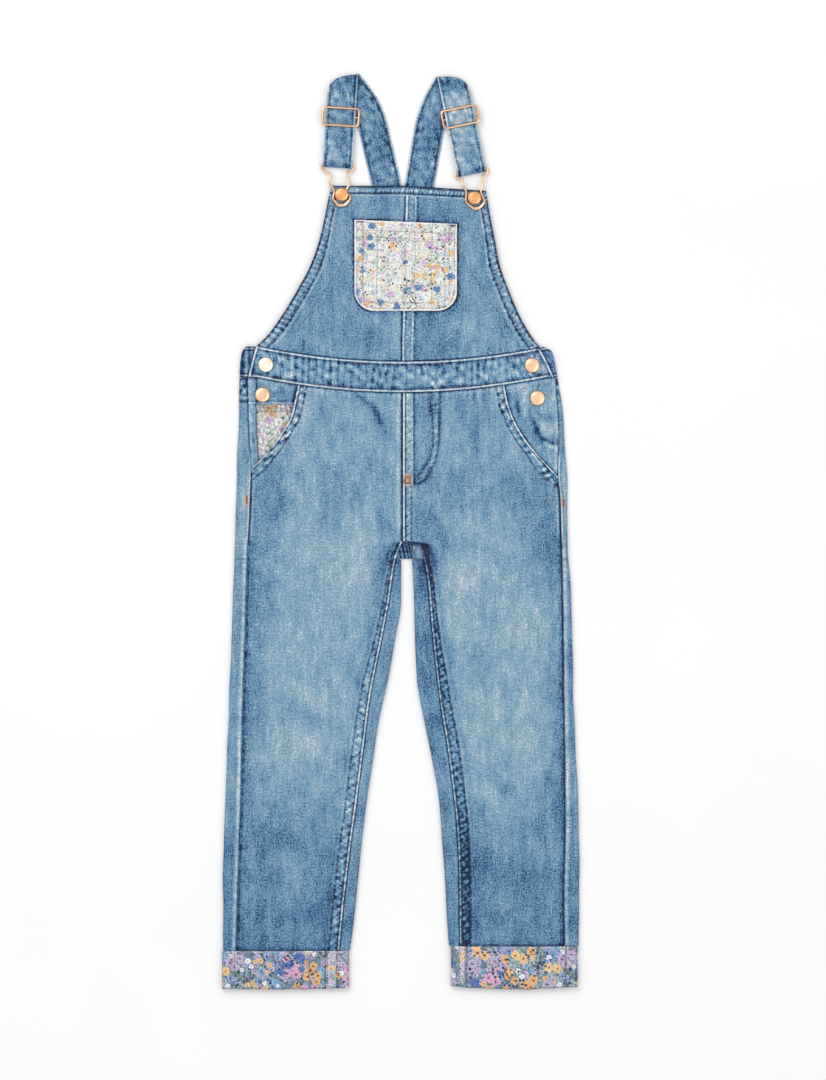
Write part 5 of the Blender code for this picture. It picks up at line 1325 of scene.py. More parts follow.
# Heights of a strap's middle at distances down from its top, then of its tail below the slider.
FRONT_HEIGHTS = ((12, 5.7), (20, 4.6), (25.5, 4.1))
BELOW_HEIGHTS = ((44.5, 4.1), (52, 4.4), (62, 4.7))
TAIL_START = SLIDER_FROM_TOP + 1.5
TAIL_HEIGHTS = ((TAIL_START, 2.45), (48, 2.45), (54, 2.45), (62, 0.7), (72, 0.7))
STRAP_ACROSS = STRAP_WIDTH * np.array((-0.5, -0.495, -0.475, -0.44, -0.4, -0.36, -0.31, -0.2, -0.07,
                                       0.07, 0.2, 0.31, 0.36, 0.4, 0.44, 0.475, 0.495, 0.5))
STITCH_COLUMNS = (4, 13)
STRAP_LINES = []


def strap_frame(strap):
    """Plan direction up the front run, and across it to the right."""
    run = np.array(strap.top) - np.array(strap.foot)
    length = float(np.hypot(*run))
    up = run / length
    return up, np.array((up[1], -up[0])), length


def height_rows(heights, start, stop, size):
    at = steps_between(start, stop, size)
    return list(zip(at, smooth(heights, at)))


def strap_middle(strap):
    """The unrolled middle line: rows of (distance down from the top of the front run, height) for
    the tail, the fold round the hook's bar and the front run."""
    length = strap_frame(strap)[2]
    tail = [pair for pair in TAIL_HEIGHTS if pair[0] < length - 1] + [(length, TAIL_HEIGHTS[-1][1])]
    below = [pair for pair in BELOW_HEIGHTS if pair[0] < length] + [(length, HOOK_BAR_Z + WRAP)]
    rows = height_rows(tail, TAIL_START, length, 1.8)
    for angle in math.pi * np.arange(1, 12) / 12:
        rows.append((length + WRAP * math.sin(angle), HOOK_BAR_Z - WRAP * math.cos(angle)))
    rows += height_rows(below, length, BELOW_HEIGHTS[0][0], 1.5)
    swing = WIRE + 0.3 + STRAP_WALL / 2
    weave = steps_between(SLIDER_HALF[1], -SLIDER_HALF[1], 0.9)[1:-1]
    rows += zip(SLIDER_FROM_TOP + weave, SLIDER_Z + swing * np.cos(math.pi * weave / SLIDER_HALF[1]))
    return rows + height_rows(FRONT_HEIGHTS, FRONT_HEIGHTS[-1][0], FRONT_HEIGHTS[0][0], 1.5)


def build_strap(name, strap):
    sign = strap.side
    up, across, length = strap_frame(strap)
    top = np.array(strap.top)
    wide = STRAP_ACROSS[:, None]
    tilt = math.radians(strap.roll_tilt)
    axis = np.array((math.cos(tilt), -sign * math.sin(tilt)))
    outward = np.array((-axis[1], axis[0]))
    arc = math.pi * ROLL_RADIUS

    def rolled(plan):
        """Points of the unrolled strap, wrapped over the roll where they lie beyond it."""
        away = plan - top
        along_axis, beyond = away @ axis, away @ outward
        angle = np.clip(beyond / ROLL_RADIUS, 0.0, math.pi)
        out = np.where(beyond < arc, ROLL_RADIUS * np.sin(angle), arc - beyond)
        out = np.where(beyond <= 0, beyond, out)
        part = along_axis / (STRAP_WIDTH / 2)
        dome = ROLL_CROWN * (1 - np.clip(part - 0.1 * sign, -1.0, 1.0) ** 2)
        dome -= ROLL_DOME * np.clip(sign * part + 0.15, 0.0, 1.2) ** 3
        dome *= ease((beyond + 9.0) / 9.0) * ease((arc + 9.0 - beyond) / 9.0)
        flat = top + along_axis[:, None] * axis + (out + dome)[:, None] * outward
        return np.column_stack((flat, STRAP_WALL / 2 + ROLL_RADIUS * (1 + np.cos(angle))))

    rows = []
    for distance, height in strap_middle(strap):
        plan = top - up * distance + wide * across
        rows.append(np.column_stack((plan, np.full(len(plan), height))))
    front_rows = len(rows)
    half_skew = 0.5 * STRAP_WIDTH * math.tan(tilt + 0.1)
    rib = max(-half_skew - 2.0, -7.8)
    while rib < arc + half_skew + 2.2:
        rows.append(rolled(top + up * rib + wide * across))
        rib += 0.9
    heading = math.atan2(up[1], up[0])
    turned = math.radians(strap.back_start - strap.back_end)
    target = BACK_BIB_HALF[0][0] + SEAM
    centre = top + up * (rib - 0.9)
    back_run = 0.0
    while rows[-1][:, 1].min() >= target:
        back_run += BACK_STEP
        angle = heading - sign * turned * float(ease(back_run / BEND_LENGTH))
        centre = centre + BACK_STEP * np.array((math.cos(angle), math.sin(angle)))
        rows.append(rolled(centre + wide * (math.sin(angle), -math.cos(angle))))
    rows.pop()
    last, way = rows[-1], rows[-1] - rows[-2]
    rows.append(last + way * ((target - last[:, 1]) / way[:, 1])[:, None])
    grid = np.array(rows)
    normal = np.cross(np.gradient(grid, axis=0), np.gradient(grid, axis=1))
    normal /= np.linalg.norm(normal, axis=2, keepdims=True)

    run = run_along(grid[:, len(STRAP_ACROSS) // 2])[:, None]
    roll_run = run[front_rows]
    in_front = np.arange(len(run))[:, None] < front_rows
    from_edge = STRAP_WIDTH / 2 - np.abs(STRAP_ACROSS)
    gather = puckers(run + 0.25 * from_edge * np.sign(STRAP_ACROSS), 4.6, 75 + sign)
    hem = band(from_edge, 4.2)
    half_wall = STRAP_WALL / 2 + 0.1 * hem * gather - 0.28 * ease(1 - from_edge / 0.7)
    half_wall -= 0.12 * bell(from_edge - 3.0, 0.9)
    front_wash = 0.72 if sign > 0 else 0.36 + 0.27 * ease((roll_run - run - 45.0) / 30.0)
    front_wash = front_wash + (0.3 if sign > 0 else 0.05) * bell(run - roll_run + 20, 30.0)
    # Painted shade: the roll and the back run are kept darker (0.12) than the front run.
    fade = np.where(in_front, front_wash, 0.12) + 0.1 * waves(run, 0, 40, 77) + 0.3 * hem * gather
    slubs = 0.45 * waves(STRAP_ACROSS, 0.6 * run, 8, 78) + 0.4 * waves(STRAP_ACROSS, 0.4 * run, 4, 79)
    worn = np.where(sign * STRAP_ACROSS < 0, 1.5, 0.7)  # the inner edge is the paler one
    fade += slubs * ease(from_edge / 4.0) + bells(from_edge, (worn, 0.6, 0.6), (-1.1, 2.5, 0.8))
    wrap_end = length - TAIL_START + math.pi * WRAP
    fade -= 0.7 * bell(run - wrap_end, 3.0)
    STRAP_LINES.extend(grid[np.argmax(run > wrap_end):, column] for column in STITCH_COLUMNS)
    cloth = np.stack(np.broadcast_arrays(STRAP_ACROSS, run), -1) * MM
    aside = normal * half_wall[..., None]
    return shell(name, grid + aside, grid - aside, cloth, fade, DENIM)


# ---- sliders, hooks and buttons --------------------------------------------------------------
WIRE_SIDES = 14


def tube(path, radius, closed=True):
    """Points and faces of a round wire along a path, closed or with flat ends."""
    path = np.asarray(path, float)
    count = len(path)
    if closed:
        way = np.roll(path, -1, axis=0) - np.roll(path, 1, axis=0)
    else:
        way = np.gradient(path, axis=0)
    way /= np.linalg.norm(way, axis=1, keepdims=True)
    flat = np.cross(way, (0.0, 0.0, 1.0))
    flat /= np.linalg.norm(flat, axis=1, keepdims=True)
    upright = np.cross(flat, way)
    turns = 2 * math.pi * (np.arange(WIRE_SIDES)[:, None] + 0.5) / WIRE_SIDES
    ring = radius * (flat[:, None] * np.cos(turns) + upright[:, None] * np.sin(turns))
    points = (path[:, None] + ring).reshape(-1, 3)
    side = np.arange(WIRE_SIDES)
    after = np.roll(side, -1)
    faces = []
    for i in range(count if closed else count - 1):
        a, b = i * WIRE_SIDES, (i + 1) % count * WIRE_SIDES
        faces += np.stack((a + side, a + after, b + after, b + side), -1).tolist()
    if not closed:
        faces += [side.tolist(), (len(points) - 1 - side).tolist()]
    return points, faces


def corner_curve(before, corner, after, reach, most, steps):
    """A corner cut to a short curve that starts at most reach, and a share of its sides, away."""
    sides = [before - corner, after - corner]
    reach = min(reach, *(most * np.linalg.norm(side) for side in sides))
    start, end = (corner + side / np.linalg.norm(side) * reach for side in sides)
    return [(1 - part) ** 2 * start + 2 * part * (1 - part) * corner + part ** 2 * end
            for part in np.linspace(0, 1, steps + 1)]


def rounded(corners, radius):
    """A closed path with each corner cut to a short curve."""
    corners = [np.array(corner, float) for corner in corners]
    path = []
    for before, corner, after in zip(corners[-1:] + corners, corners, corners[1:] + corners[:1]):
        path += corner_curve(before, corner, after, radius, 0.45, 7)
    return path


def joined(name, shapes, material):
    """One object of several closed shapes, each given as points and faces."""
    points, faces, start = [], [], 0
    for shape_points, shape_faces in shapes:
        points.append(shape_points)
        faces += [[index + start for index in face] for face in shape_faces]
        start += len(shape_points)
    return add_mesh(name, np.concatenate(points), faces, material)


def build_slider(name, strap):
    """A frame with a middle bar, through which the strap is woven."""
    up, across, _ = strap_frame(strap)
    centre = np.array(strap.top) - up * SLIDER_FROM_TOP
    half_width, half_height = SLIDER_HALF

    def place(u, v=0.0):
        return (*(centre + across * half_width * u + up * half_height * v), SLIDER_Z)

    edge = tube(rounded((place(-1, -1), place(1, -1), place(1, 1), place(-1, 1)), 3.2), WIRE * 1.22)
    bar = tube([place(u) for u in np.linspace(-1, 1, 9)], WIRE * 0.9, closed=False)
    return joined(name, (edge, bar), ROSE_GOLD)


HOOK_BAR_HALF = 17.5
HOOKS = {  # x, y and z of the wire's corners between the ends of its bar
    "left": (
        (-77.0, 361.5, 3.3), (-69.5, 359.5, 4.2), (-69.5, 354.0, 5.0), (-71.2, 349.2, 5.8),
        (-65.0, 341.4, HOOK_Z), (-67.4, 333.7, HOOK_Z), (-61.5, 325.7, HOOK_Z), (-54.0, 326.9, HOOK_Z),
        (-48.8, 334.9, HOOK_Z), (-54.4, 341.4, HOOK_Z), (-50.0, 348.2, 5.8), (-53.8, 359.5, 4.2),
        (-48.5, 361.0, 3.3),
    ),
    "right": (
        (57.0, 353.8, 3.3), (62.5, 352.5, 4.2), (62.5, 347.0, 5.5), (66.5, 340.1, HOOK_Z),
        (65.4, 330.3, HOOK_Z), (74.0, 322.3, HOOK_Z), (80.3, 324.0, HOOK_Z), (85.0, 330.3, HOOK_Z),
        (80.3, 340.1, HOOK_Z), (82.6, 345.8, 5.7), (81.5, 355.5, 4.2), (87.0, 358.0, 3.3),
    ),
}
TOE_HEIGHT = 7.0  # the toe of the loop is twice as broad up to here


def build_hook(name, strap, points):
    across = strap_frame(strap)[1]
    foot = np.array(strap.foot)
    left, right = ((*(foot + across * end), HOOK_BAR_Z) for end in (-HOOK_BAR_HALF, HOOK_BAR_HALF))
    path = np.array(rounded((left, *points, right), 2.8))
    toe = path[path[:, 1] < path[:, 1].min() + TOE_HEIGHT]
    inward = toe.mean(axis=0) - toe
    inward /= np.linalg.norm(inward, axis=1, keepdims=True)
    loop = tube(path, WIRE * 1.1)
    return joined(name, (loop, tube(toe + 1.5 * inward, WIRE * 0.9, closed=False)), ROSE_GOLD)


def lathe(centre, base_z, profile, segments=56):
    """A shape turned from (radius, height) pairs, from its lowest point to its top."""
    angles = 2 * math.pi * np.arange(segments) / segments
    rings = [np.stack((radius * np.cos(angles), radius * np.sin(angles), np.full(segments, height)), -1)
             for radius, height in profile[1:-1]]
    points = np.concatenate(([(0.0, 0.0, profile[0][1])], *rings, [(0.0, 0.0, profile[-1][1])]))
    last, top = len(points) - 1 - segments, len(points) - 1
    faces = (grid_faces(len(rings), segments, ring=True) + 1).tolist()
    for step in range(segments):
        after = (step + 1) % segments
        faces += [(0, 1 + after, 1 + step), (last + step, last + after, top)]
    return points + (*centre, base_z), faces


def curve_profile(profile):
    """A turned profile with its corners after the shank rounded."""
    points = [np.array(point, float) for point in profile]
    line = points[:3]
    for before, point, after in zip(points[2:], points[3:], points[4:]):
        line += corner_curve(before, point, after, 0.35, 0.4, 4)
    return line + points[-1:]


BIB_BUTTON = ((0, 0.0), (2.6, 0.0), (2.6, 2.2), (6.2, 2.2), (6.9, 2.7), (6.8, 3.3), (6.2, 4.0), (5.4, 4.3),
              (4.9, 4.1), (3.0, 4.4), (0, 4.55))
WAIST_BUTTON = ((0, 0.0), (4.2, 0.0), (4.2, 0.5), (6.8, 0.5), (7.5, 1.0), (7.4, 1.6), (6.8, 2.1), (6.1, 2.15),
                (5.6, 2.0), (4.4, 2.3), (2.4, 2.5), (0, 2.56))
BEADS = 20  # in the ring on a bib button
BEAD_RING = 3.9
BIB_BUTTON_BASE = BIB_UNDER + WALL + HEM_RAISE + 0.4
BAND_TOP = WAIST_UNDER + BAND_WALL + BAND_CROWN + LAYER_GAP
BAG_TOP = FRONT_UNDER + THIN_WALL + LAYER_GAP
Button = namedtuple("Button", "x y base profile")
BUTTONS = {
    "bib_button_left": Button(-58.1, 337.4, BIB_BUTTON_BASE, BIB_BUTTON),
    "bib_button_right": Button(74.4, 334.1, BIB_BUTTON_BASE, BIB_BUTTON),
    "waist_button_upper_left": Button(-134.0, 167.5, BAND_TOP, WAIST_BUTTON),
    "waist_button_upper_right": Button(132.0, 166.9, BAND_TOP, WAIST_BUTTON),
    "waist_button_lower_left": Button(-137.3, 137.5, BAG_TOP + WALL + LAYER_GAP, WAIST_BUTTON),
    "waist_button_lower_right": Button(137.4, 134.2, FRONT_UNDER + WALL + LAYER_GAP, WAIST_BUTTON),
}


def build_button(name, button):
    """A shank button: a turned, slightly domed cap with a raised rim. Those of the bib have a plain
    ring of small beads as well."""
    shapes = [lathe((button.x, button.y), button.base, curve_profile(button.profile))]
    if button.profile is WAIST_BUTTON:
        # The upper left waist button takes the near-white copy of the rose gold: a painted highlight.
        metal = PAINTED_HIGHLIGHT_GOLD if name == "waist_button_upper_left" else ROSE_GOLD
        return joined("rose_gold_" + name, shapes, metal)
    face_z = np.interp(BEAD_RING, (3.0, 5.1), (4.4, 4.15))
    bead = ((0, -0.12), (0.3, -0.05), (0.36, 0.06), (0.26, 0.2), (0, 0.26))
    for angle in 2 * math.pi * np.arange(BEADS) / BEADS:
        place = (button.x + BEAD_RING * math.cos(angle), button.y + BEAD_RING * math.sin(angle))
        shapes.append(lathe(place, button.base + face_z, bead, segments=8))
    return joined("rose_gold_" + name, shapes, WARM_GOLD)


# ---- sewing ----------------------------------------------------------------------------------
STITCH_SIDES = 5
STITCH_RISE = 0.16
# A stitch's rings: where along it they lie, their size, and their height in steps of its rise.
STITCH_RINGS = ((0.0, 0.55, -0.9), (0.2, 1.0, 0.55), (0.5, 1.05, 1.0), (0.8, 1.0, 0.55), (1.0, 0.55, -0.9))
STITCH_PROBES = (0.1, 0.5, 0.9)  # where along it the cloth's height is taken
STITCH_STEP = 1.0  # a stitch over a greater step of the cloth is left out
LEVEL_STEP = 1.6  # so is one whose own layer lies further than this below the uppermost
TACK_PITCH = 0.5
Row = namedtuple("Row", "path pitch width share seed")
Tack = namedtuple("Tack", "x0 y0 x1 y1 width colour lift", defaults=(0.0,))


def plan_row(x, y, *settings):
    return Row(np.stack(np.broadcast_arrays(x, y), -1), *settings)


def cloth_tops(pieces):
    """A function that gives the height of the uppermost cloth at plan points."""
    points, faces = [], []
    for piece in pieces:
        start = len(points)
        points += [vertex.co / MM for vertex in piece.data.vertices]
        faces += [tuple(index + start for index in face.vertices) for face in piece.data.polygons]
    tree = BVHTree.FromPolygons(points, faces)

    def height(x, y):
        hit = tree.ray_cast(Vector((x, y, 60.0)), Vector((0, 0, -1)))[0]
        return None if hit is None else hit.z
    return height


class Sewing:
    """Stitches by thread colour, each a short thread that dips into the cloth at both ends."""

    def __init__(self, height):
        self.height = height
        self.threads = {colour: ([], []) for colour in THREADS}
        turns = 2 * math.pi * np.arange(STITCH_SIDES) / STITCH_SIDES
        self.ring = list(zip(np.cos(turns), np.sin(turns)))
        body = grid_faces(len(STITCH_RINGS), STITCH_SIDES, ring=True).tolist()
        last = len(STITCH_RINGS) * STITCH_SIDES - 1
        self.faces = [*body, list(range(STITCH_SIDES)), list(range(last, last - STITCH_SIDES, -1))]

    def stitch(self, start, end, width, colour, level=None, lift=0.0):
        """level is the cloth's middle height where a lower layer's stitches are meant."""
        heights = [self.height(*(start + (end - start) * part)) for part in STITCH_PROBES]
        if None in heights or max(heights) - min(heights) > STITCH_STEP:
            return
        if level is not None and abs(heights[1] - level) > LEVEL_STEP:
            return
        way = (end - start) / max(float(np.hypot(*(end - start))), 1e-6)
        over = np.array((-way[1], way[0]))
        points, faces = self.threads[colour]
        faces += [[index + len(points) for index in face] for face in self.faces]
        for part, size, rise in STITCH_RINGS:
            middle = start + (end - start) * part
            z = float(np.interp(part, STITCH_PROBES, heights)) + rise * STITCH_RISE + lift
            for aside, upward in self.ring:
                flat = middle + over * 0.5 * width * size * aside
                points.append((*flat, z + 0.4 * width * size * upward))

    def row(self, row, spaced=False):
        """A row of stitches, mostly dark; the thread shows rust in stretches, by the row's share."""
        run = run_along(row.path[:, :2])
        total = run[-1]
        count = max(int(total / row.pitch), 1)
        starts = total * (np.arange(count) + 0.08) / count
        ends = starts + total / count * 0.8
        first, second = (np.stack([np.interp(at, run, line) for line in row.path.T], -1)
                         for at in (starts, ends))
        drift = waves(starts, 0, 38.0, row.seed)
        sway = 0.12 * waves(starts, 0, 9.0, row.seed + 1)
        limit = np.quantile(drift, 1 - row.share) if row.share > 0 else 9.0
        for a, b, tone, shift in zip(first, second, drift, sway):
            level = (a[2] + b[2]) / 2 if spaced else None
            colour = "rust" if tone > limit else "dark"
            self.stitch(a[:2] + shift, b[:2] + shift, row.width, colour, level)

    def tack(self, tack):
        """A bar tack: close stitches across a short line."""
        start, end = np.array((tack.x0, tack.y0)), np.array((tack.x1, tack.y1))
        run = end - start
        length = float(np.hypot(*run))
        across = np.array((-run[1], run[0])) / length * tack.width / 2
        count = max(int(length / TACK_PITCH), 2)
        for i in range(count):
            middle = start + run * (i + 0.5) / count
            lean = run / length * (0.25 if i % 2 else -0.25)
            self.stitch(middle - across - lean, middle + across + lean, 0.5, tack.colour, lift=tack.lift)

    def finish(self):
        return [add_mesh(colour + "_stitching", points, faces, THREADS[colour])
                for colour, (points, faces) in self.threads.items()]


def hip_rows(side):
    """The rows beside a pocket mouth and down the inseam."""
    outline = OUTLINES[side]
    end = outline.mouth[-1][0]
    for low, seed in ((end + 2.0, 1), (end - 11.0, 2)):
        y = steps_between(136.0, low, 2.0)
        y = y + waist_sag(smooth(outline.mouth, y)) * ease((y - 100.0) / 39.0)
        edge = smooth(outline.mouth, y) + side * MOUTH_RUN_ON * np.clip(end - y, 0.0, None)
        reach = 2.7 if seed == 1 else smooth(MOUTH_BAND, y) - 0.4
        yield plan_row(edge - side * reach, y, 2.9, 0.7, 0.3, 10 * seed + side)
    y = steps_between(-14.0, outline.hem + 1.0, 2.0)
    for reach, seed in ((2.5, 3), (smooth(INSEAM_BAND, y) - 0.3, 4)):
        yield plan_row(smooth(outline.inseam, y) + side * reach, y, 3.0, 0.7, 0.2, 10 * seed + side)


def fly_rows():
    for line, seed in ((FLY_INNER, 51), (FLY_OUTER, 52)):
        y = steps_between(line[0][0] + 1.5, line[-1][0], 1.5)
        yield plan_row(smooth(line, y), y, 2.9, 0.85, 0.42, seed)
    y = steps_between(138.0, -8.0, 2.0)
    for distance, seed in ((2.6, 53), (8.4, 54)):
        yield plan_row(smooth(RIGHT_INSEAM, y) + distance, y, 3.0, 0.6, 0.3, seed)


def waist_rows():
    x = steps_between(-141.5, 140.5, 3.0)
    yield plan_row(x, WAIST_TOP + waist_sag(x) - 3.2, 3.0, 0.7, 0.3, 61)
    x = steps_between(-148.0, 149.5, 3.0)
    yield plan_row(x, WAIST_BOTTOM + waist_sag(x) + 3.2, 3.0, 0.7, 0.32, 62)
    y = steps_between(181.5, 160.0, 1.5)
    for side in (-1, 1):
        yield plan_row(waist_end(side, y) - 3.0 * side, y, 2.8, 0.5, 0.0, 63)


def bib_rows():
    for side, start in ((-1, 344.5), (1, 339.5)):
        y = steps_between(start, 190.0, 2.0)
        edge = smooth(bib_line(side), y)
        keep = y > WAIST_TOP + waist_sag(edge) + 1.0
        for reach, seed in ((2.9, 65), (7.6, 66)):
            x = edge - side * reach / bib_slope(side, y)
            yield plan_row(x[keep], y[keep], 2.9, 0.65, 0.2, seed + 4 * side)
    x = steps_between(-66.5, 83.0, 3.0)
    for down, seed in ((2.4, 67), (7.6, 68)):
        yield plan_row(x, bib_top(x) - down, 3.0, 0.65, 0.25, seed)
    for start, stop in ((BIB_TOP - 10, POCKET_TOP + 1), (POCKET_BOTTOM - 1, WAIST_TOP + 1)):
        y = steps_between(start, stop, 2.0)
        for reach, seed in ((2.9, 69), (9.0, 70)):
            yield plan_row(smooth(BIB_SEAM, y) + reach, y, 3.0, 0.45, 0.1, seed)
    y = steps_between(336.0, 200.0, 3.0)
    for side in (-1, 1):
        yield plan_row(BACK_BIB_MIDDLE + side * (smooth(BACK_BIB_HALF, y) - 2.6), y, 3.0, 0.5, 0.15, 71)


def pocket_rows():
    left, right = POCKET_SIDES
    x = steps_between(left + 1.5, right - 1.5, 3.0)
    for down, seed in ((10.0, 80), (16.6, 81)):
        yield plan_row(x, pocket_top(x) - down, 2.6, 0.42, 0.35, seed)
    turns = np.linspace(0, math.pi / 2, 9)
    for inset, share, seed in ((2.4, 0.5, 83), (8.0, 0.6, 84)):
        radius = POCKET_CORNER - inset
        low = POCKET_BOTTOM + POCKET_CORNER - radius * np.sin(turns)
        x = np.concatenate(((left + inset,), left + POCKET_CORNER - radius * np.cos(turns),
                            right - POCKET_CORNER + radius * np.sin(turns), (right - inset,)))
        y = np.concatenate(((POCKET_TOP - 2.0,), low, low[::-1], (POCKET_TOP - POCKET_DROP - 2.0,)))
        yield plan_row(x, y, 2.6, 0.36, share, seed)
    y = steps_between(POCKET_TOP - 7.0, POCKET_BOTTOM + 9.0, 2.0)
    for i, tuck in enumerate(POCKET_TUCKS):
        yield plan_row(tuck + 0.4 * np.sin(y / 9.0 + tuck), y, 3.4, 0.34, 0.4, 180 + i)


def bag_rows():
    for y, seed in ((126.6, 86), (120.6, 87)):
        x = steps_between(float(smooth(LEFT_SIDE, y)) + 9.5, float(smooth(LEFT_MOUTH, y)) - 0.8, 2.0)
        yield plan_row(x, y, 2.4, 0.4, 0.4, seed)


def yoke_rows():
    for side, outline in OUTLINES.items():
        for y, seed in ((136.6, 88), (132.0, 89)):
            fold, seam = float(smooth(outline.fold, y)), float(smooth(outline.side, y))
            yield plan_row(steps_between(fold - side * 1.5, seam + side * 0.6, 1.0), y, 2.4, 0.5, 0.3, seed)


def cuff_rows(cuff):
    side_x = cuff.left + 12.6 if cuff.side < 0 else cuff.right - 12.6
    y = steps_between(cuff.top - 1.5, cuff.bottom_side - 1.5, 2.0)
    for x, seed, share in ((cuff.band_left + 1.6, 91, 0.3), (cuff.band_right - 1.6, 92, 0.6),
                           (side_x, 93, 0.2)):
        yield plan_row(x, y, 2.6, 0.5, share, seed + cuff.side)


TACKS = (
    Tack(-153.9, 37.0, -153.9, 26.5, 5.4, "blush"), Tack(163.0, 34.5, 163.0, 24.0, 3.8, "blush"),
    Tack(-153.2, 36.5, -153.2, 28.5, 1.8, "brown", 0.3), Tack(163.3, 33.5, 163.3, 25.0, 1.8, "brown", 0.3),
    Tack(157.0, 93.5, 157.0, 87.5, 1.8, "rust"), Tack(-146.5, 94.0, -146.5, 89.0, 1.6, "dark"),
    Tack(7.4, 58.5, 7.4, 46.5, 8.4, "blush"), Tack(7.6, 56.6, 7.6, 53.6, 8.0, "amber", 0.3),
    Tack(4.8, 53.4, 4.8, 50.6, 3.2, "brown", 0.3), Tack(9.6, 53.4, 9.6, 50.4, 3.0, "amber", 0.3),
    Tack(7.4, 50.2, 7.4, 48.6, 7.6, "brown", 0.3), Tack(-43.5, 310.6, -35.5, 310.2, 2.0, "rust"),
    Tack(50.0, 306.8, 56.0, 306.6, 2.0, "rust"), Tack(3.4, 3.0, 3.4, -5.0, 2.0, "rust"),
    Tack(138.6, 149.0, 137.6, 142.6, 1.6, "dark"), Tack(-108.5, 147.6, -101.5, 146.8, 1.4, "dark"),
    Tack(104.0, 147.0, 111.0, 147.8, 1.4, "dark"),
)


def sew(pieces):
    sewing = Sewing(cloth_tops(pieces))
    rows = [*fly_rows(), *waist_rows(), *bib_rows(), *bag_rows(), *yoke_rows(), *hip_rows(-1), *hip_rows(1)]
    for cuff in CUFFS.values():
        rows += cuff_rows(cuff)
    for row in (*rows, *pocket_rows()):
        sewing.row(row)
    for line in STRAP_LINES:
        sewing.row(Row(line, 3.0, 0.5, 0.15, 95), spaced=True)
    for tack in TACKS:
        sewing.tack(tack)
    return sewing.finish()


# ---- studio ----------------------------------------------------------------------------------
# The cut of what shows of each cloth piece, opened flat and, on a tube, all round: width and length,
# with the area where it isn't a rectangle. rests_on names what lies under it.
Cut = namedtuple("Cut", "piece width length area held rests_on", defaults=((),))
CUTS = (
    Cut("front_leg_left", 166, 565, 0.0721, "laid", ("back_leg_left",)),
    Cut("front_leg_right", 162, 560, 0.0698, "laid", ("back_leg_right",)),
    Cut("back_leg_left", 215, 548, 0.104, "folded"),
    Cut("back_leg_right", 210, 543, 0.101, "folded"),
    Cut("back_yoke_left", 185, 24, 0.0031, "folded"),
    Cut("back_yoke_right", 178, 24, 0.0028, "folded"),
    Cut("crotch_band", 32.6, 36, 0.00074, "folded"),
    Cut("bib_front_left", 149, 175.3, 0.0179, "laid", ("bib_back",)),
    Cut("bib_front_right", 138, 175.3, 0.0179, "laid", ("bib_back",)),
    Cut("bib_back", 256, 166.2, 0.0249, "laid"),
    Cut("bib_pocket", 102.6, 91.1, 0.0092, "laid", ("bib_front_left", "bib_front_right")),
    Cut("waistband_back", 345, 32.5, 0.0108, "folded"),
    Cut("waistband_front", 306, 32.5, 0.0097, "laid", ("waistband_back",)),
    Cut("pocket_bag_left", 63.3, 110.6, 0.0044, "laid", ("back_leg_left",)),
    Cut("hip_facing_right", 68.9, 110.6, 0.0049, "laid", ("back_leg_right",)),
    Cut("hip_facing_left", 50.7, 89.2, 0.00176, "laid", ("pocket_bag_left",)),
    Cut("cuff_left", 262, 39, None, "folded"),
    Cut("cuff_right", 262, 43, None, "folded"),
    Cut("strap_left", 29.4, 283, None, "folded", ("bib_front_left", "slider_left", "hook_left")),
    Cut("strap_right", 29.4, 293, None, "folded", ("bib_front_right", "slider_right", "hook_right")),
)

FRAME_CENTRE = (0.013, -0.0075)
FRAME_HEIGHT = 1.080
CAMERA_HEIGHT = 5.4
SENSOR = 36.0
FLOOR_DROP = -0.0004  # the floor lies this far under the garment, so the two don't share a plane


def area_light(name, place, size, power):
    data = bpy.data.lights.new(name, "AREA")
    data.size = size
    data.energy = power
    made = bpy.data.objects.new(name, data)
    bpy.context.scene.collection.objects.link(made)
    made.location = place
    made.rotation_euler = (-Vector(place)).to_track_quat("-Z", "Y").to_euler()


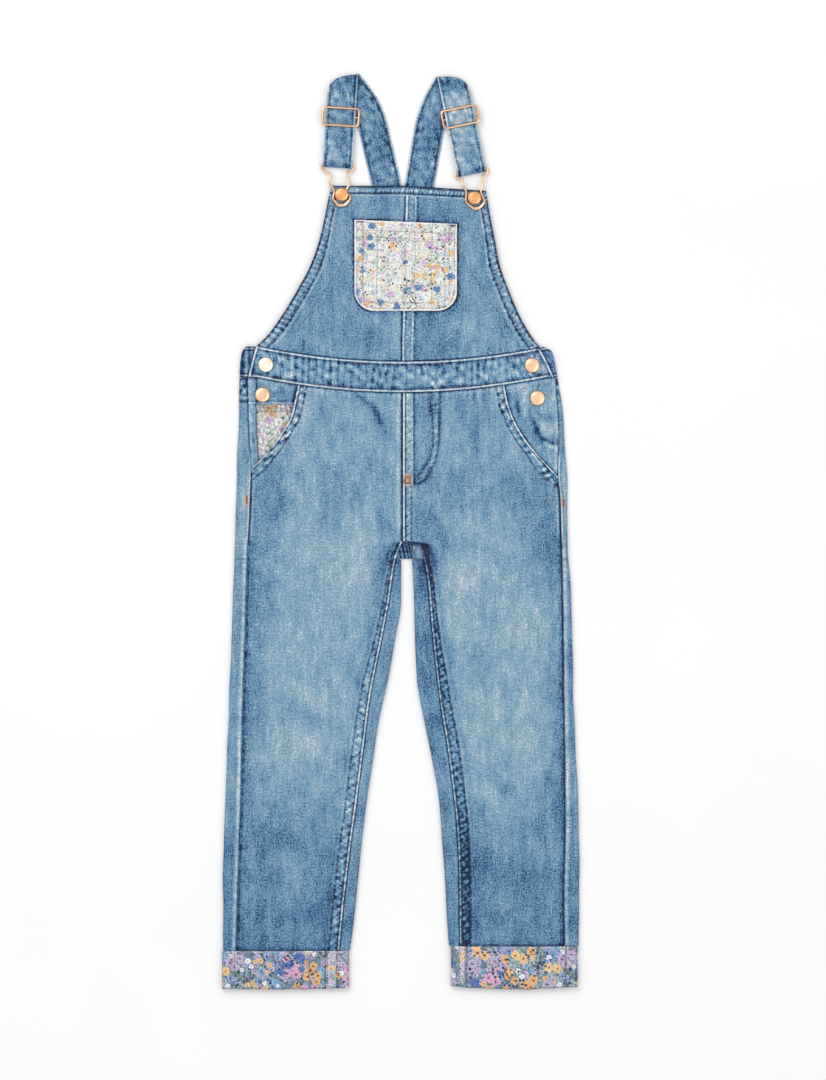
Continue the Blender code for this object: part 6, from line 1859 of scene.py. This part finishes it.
def build_studio():
    scene = bpy.context.scene
    scene.view_settings.view_transform = "Standard"
    world = bpy.data.worlds.new("studio")
    world.use_nodes = True
    nodes, links = world.node_tree.nodes, world.node_tree.links
    direction = nodes.new("ShaderNodeTexCoord").outputs["Generated"]
    split = nodes.new("ShaderNodeSeparateXYZ")
    links.new(direction, split.inputs[0])
    ceiling = nodes.new("ShaderNodeMapRange")
    links.new(split.outputs[2], ceiling.inputs[0])
    for socket, value in (("From Min", 0.1), ("From Max", 0.95), ("To Min", 0.22), ("To Max", 1.1)):
        ceiling.inputs[socket].default_value = value
    background = nodes["Background"]
    background.inputs[0].default_value = (1.0, 1.0, 1.0, 1.0)
    links.new(ceiling.outputs[0], background.inputs[1])
    scene.world = world
    area_light("key", (-1.5, 1.7, 2.6), 2.2, 36.0)
    area_light("fill", (1.9, -0.7, 2.8), 2.6, 16.0)
    t = Tree("floor", 0.95)
    soft = t.noise(t.object_place(), (260.0, 260.0), 2.0)
    t.colour(t.mix(t.range(soft, 0.3, 0.7), (0.9, 0.9, 0.9, 1.0), (0.92, 0.92, 0.92, 1.0)))
    mesh = bpy.data.meshes.new("floor")
    edit = bmesh.new()
    bmesh.ops.create_circle(edit, cap_ends=True, segments=96, radius=4.0)
    edit.to_mesh(mesh)
    edit.free()
    mesh.materials.append(t.material)
    floor = bpy.data.objects.new("floor", mesh)
    floor.location = (0.0, 0.0, FLOOR_DROP)
    scene.collection.objects.link(floor)
    camera = bpy.data.cameras.new("camera")
    camera.sensor_width = SENSOR
    camera.lens = SENSOR * CAMERA_HEIGHT / FRAME_HEIGHT
    camera.clip_end = 30.0
    made = bpy.data.objects.new("camera", camera)
    made.location = (*FRAME_CENTRE, CAMERA_HEIGHT)
    scene.collection.objects.link(made)
    scene.camera = made


def frame_slot(node):
    return next(row["material_slot"] for row in frame["record"]["subparts"] if row["node"] == node)


build_studio()
PIECES = {}
for side, word in ((-1, "left"), (1, "right")):
    PIECES["front_leg_" + word] = build_front_leg("denim_front_leg_" + word, side)
    PIECES["back_leg_" + word] = build_back_leg("denim_back_leg_" + word, side)
    PIECES["back_yoke_" + word] = build_back_yoke("denim_back_yoke_" + word, side)
    PIECES["bib_front_" + word] = build_bib("denim_bib_front_" + word, side)
    PIECES["strap_" + word] = build_strap("denim_strap_" + word, STRAPS[word])
PIECES["waistband_back"] = build_back_band()
PIECES["crotch_band"] = build_crotch_band()
PIECES["pocket_bag_left"] = hip_piece("flower_pocket_bag_left", -1, 1.5, THIN_WALL, PALE_PRINT, bag_fade,
                                       print_start=(302.0, 62.0))
PIECES["hip_facing_right"] = hip_piece("denim_hip_facing_right", 1, 0.0, WALL, DENIM, facing_fade)
PIECES["hip_facing_left"] = build_left_facing()
PIECES["waistband_front"] = build_waistband()
PIECES["bib_back"] = build_back_bib()
PIECES["bib_pocket"] = build_bib_pocket()
for name, cuff in CUFFS.items():
    PIECES[name] = build_cuff(name, cuff)
SEWN = sew(list(PIECES.values()))
for word, strap in STRAPS.items():
    PIECES["slider_" + word] = build_slider("rose_gold_slider_" + word, strap)
    PIECES["hook_" + word] = build_hook("rose_gold_hook_" + word, strap, HOOKS[word])
for name, button in BUTTONS.items():
    PIECES[name] = build_button(name, button)
for node, piece in PIECES.items():
    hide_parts(node)
    frame_slot(node)
for cut in CUTS:
    [PIECES[name].name for name in cut.rests_on]
bpy.context.view_layer.update()
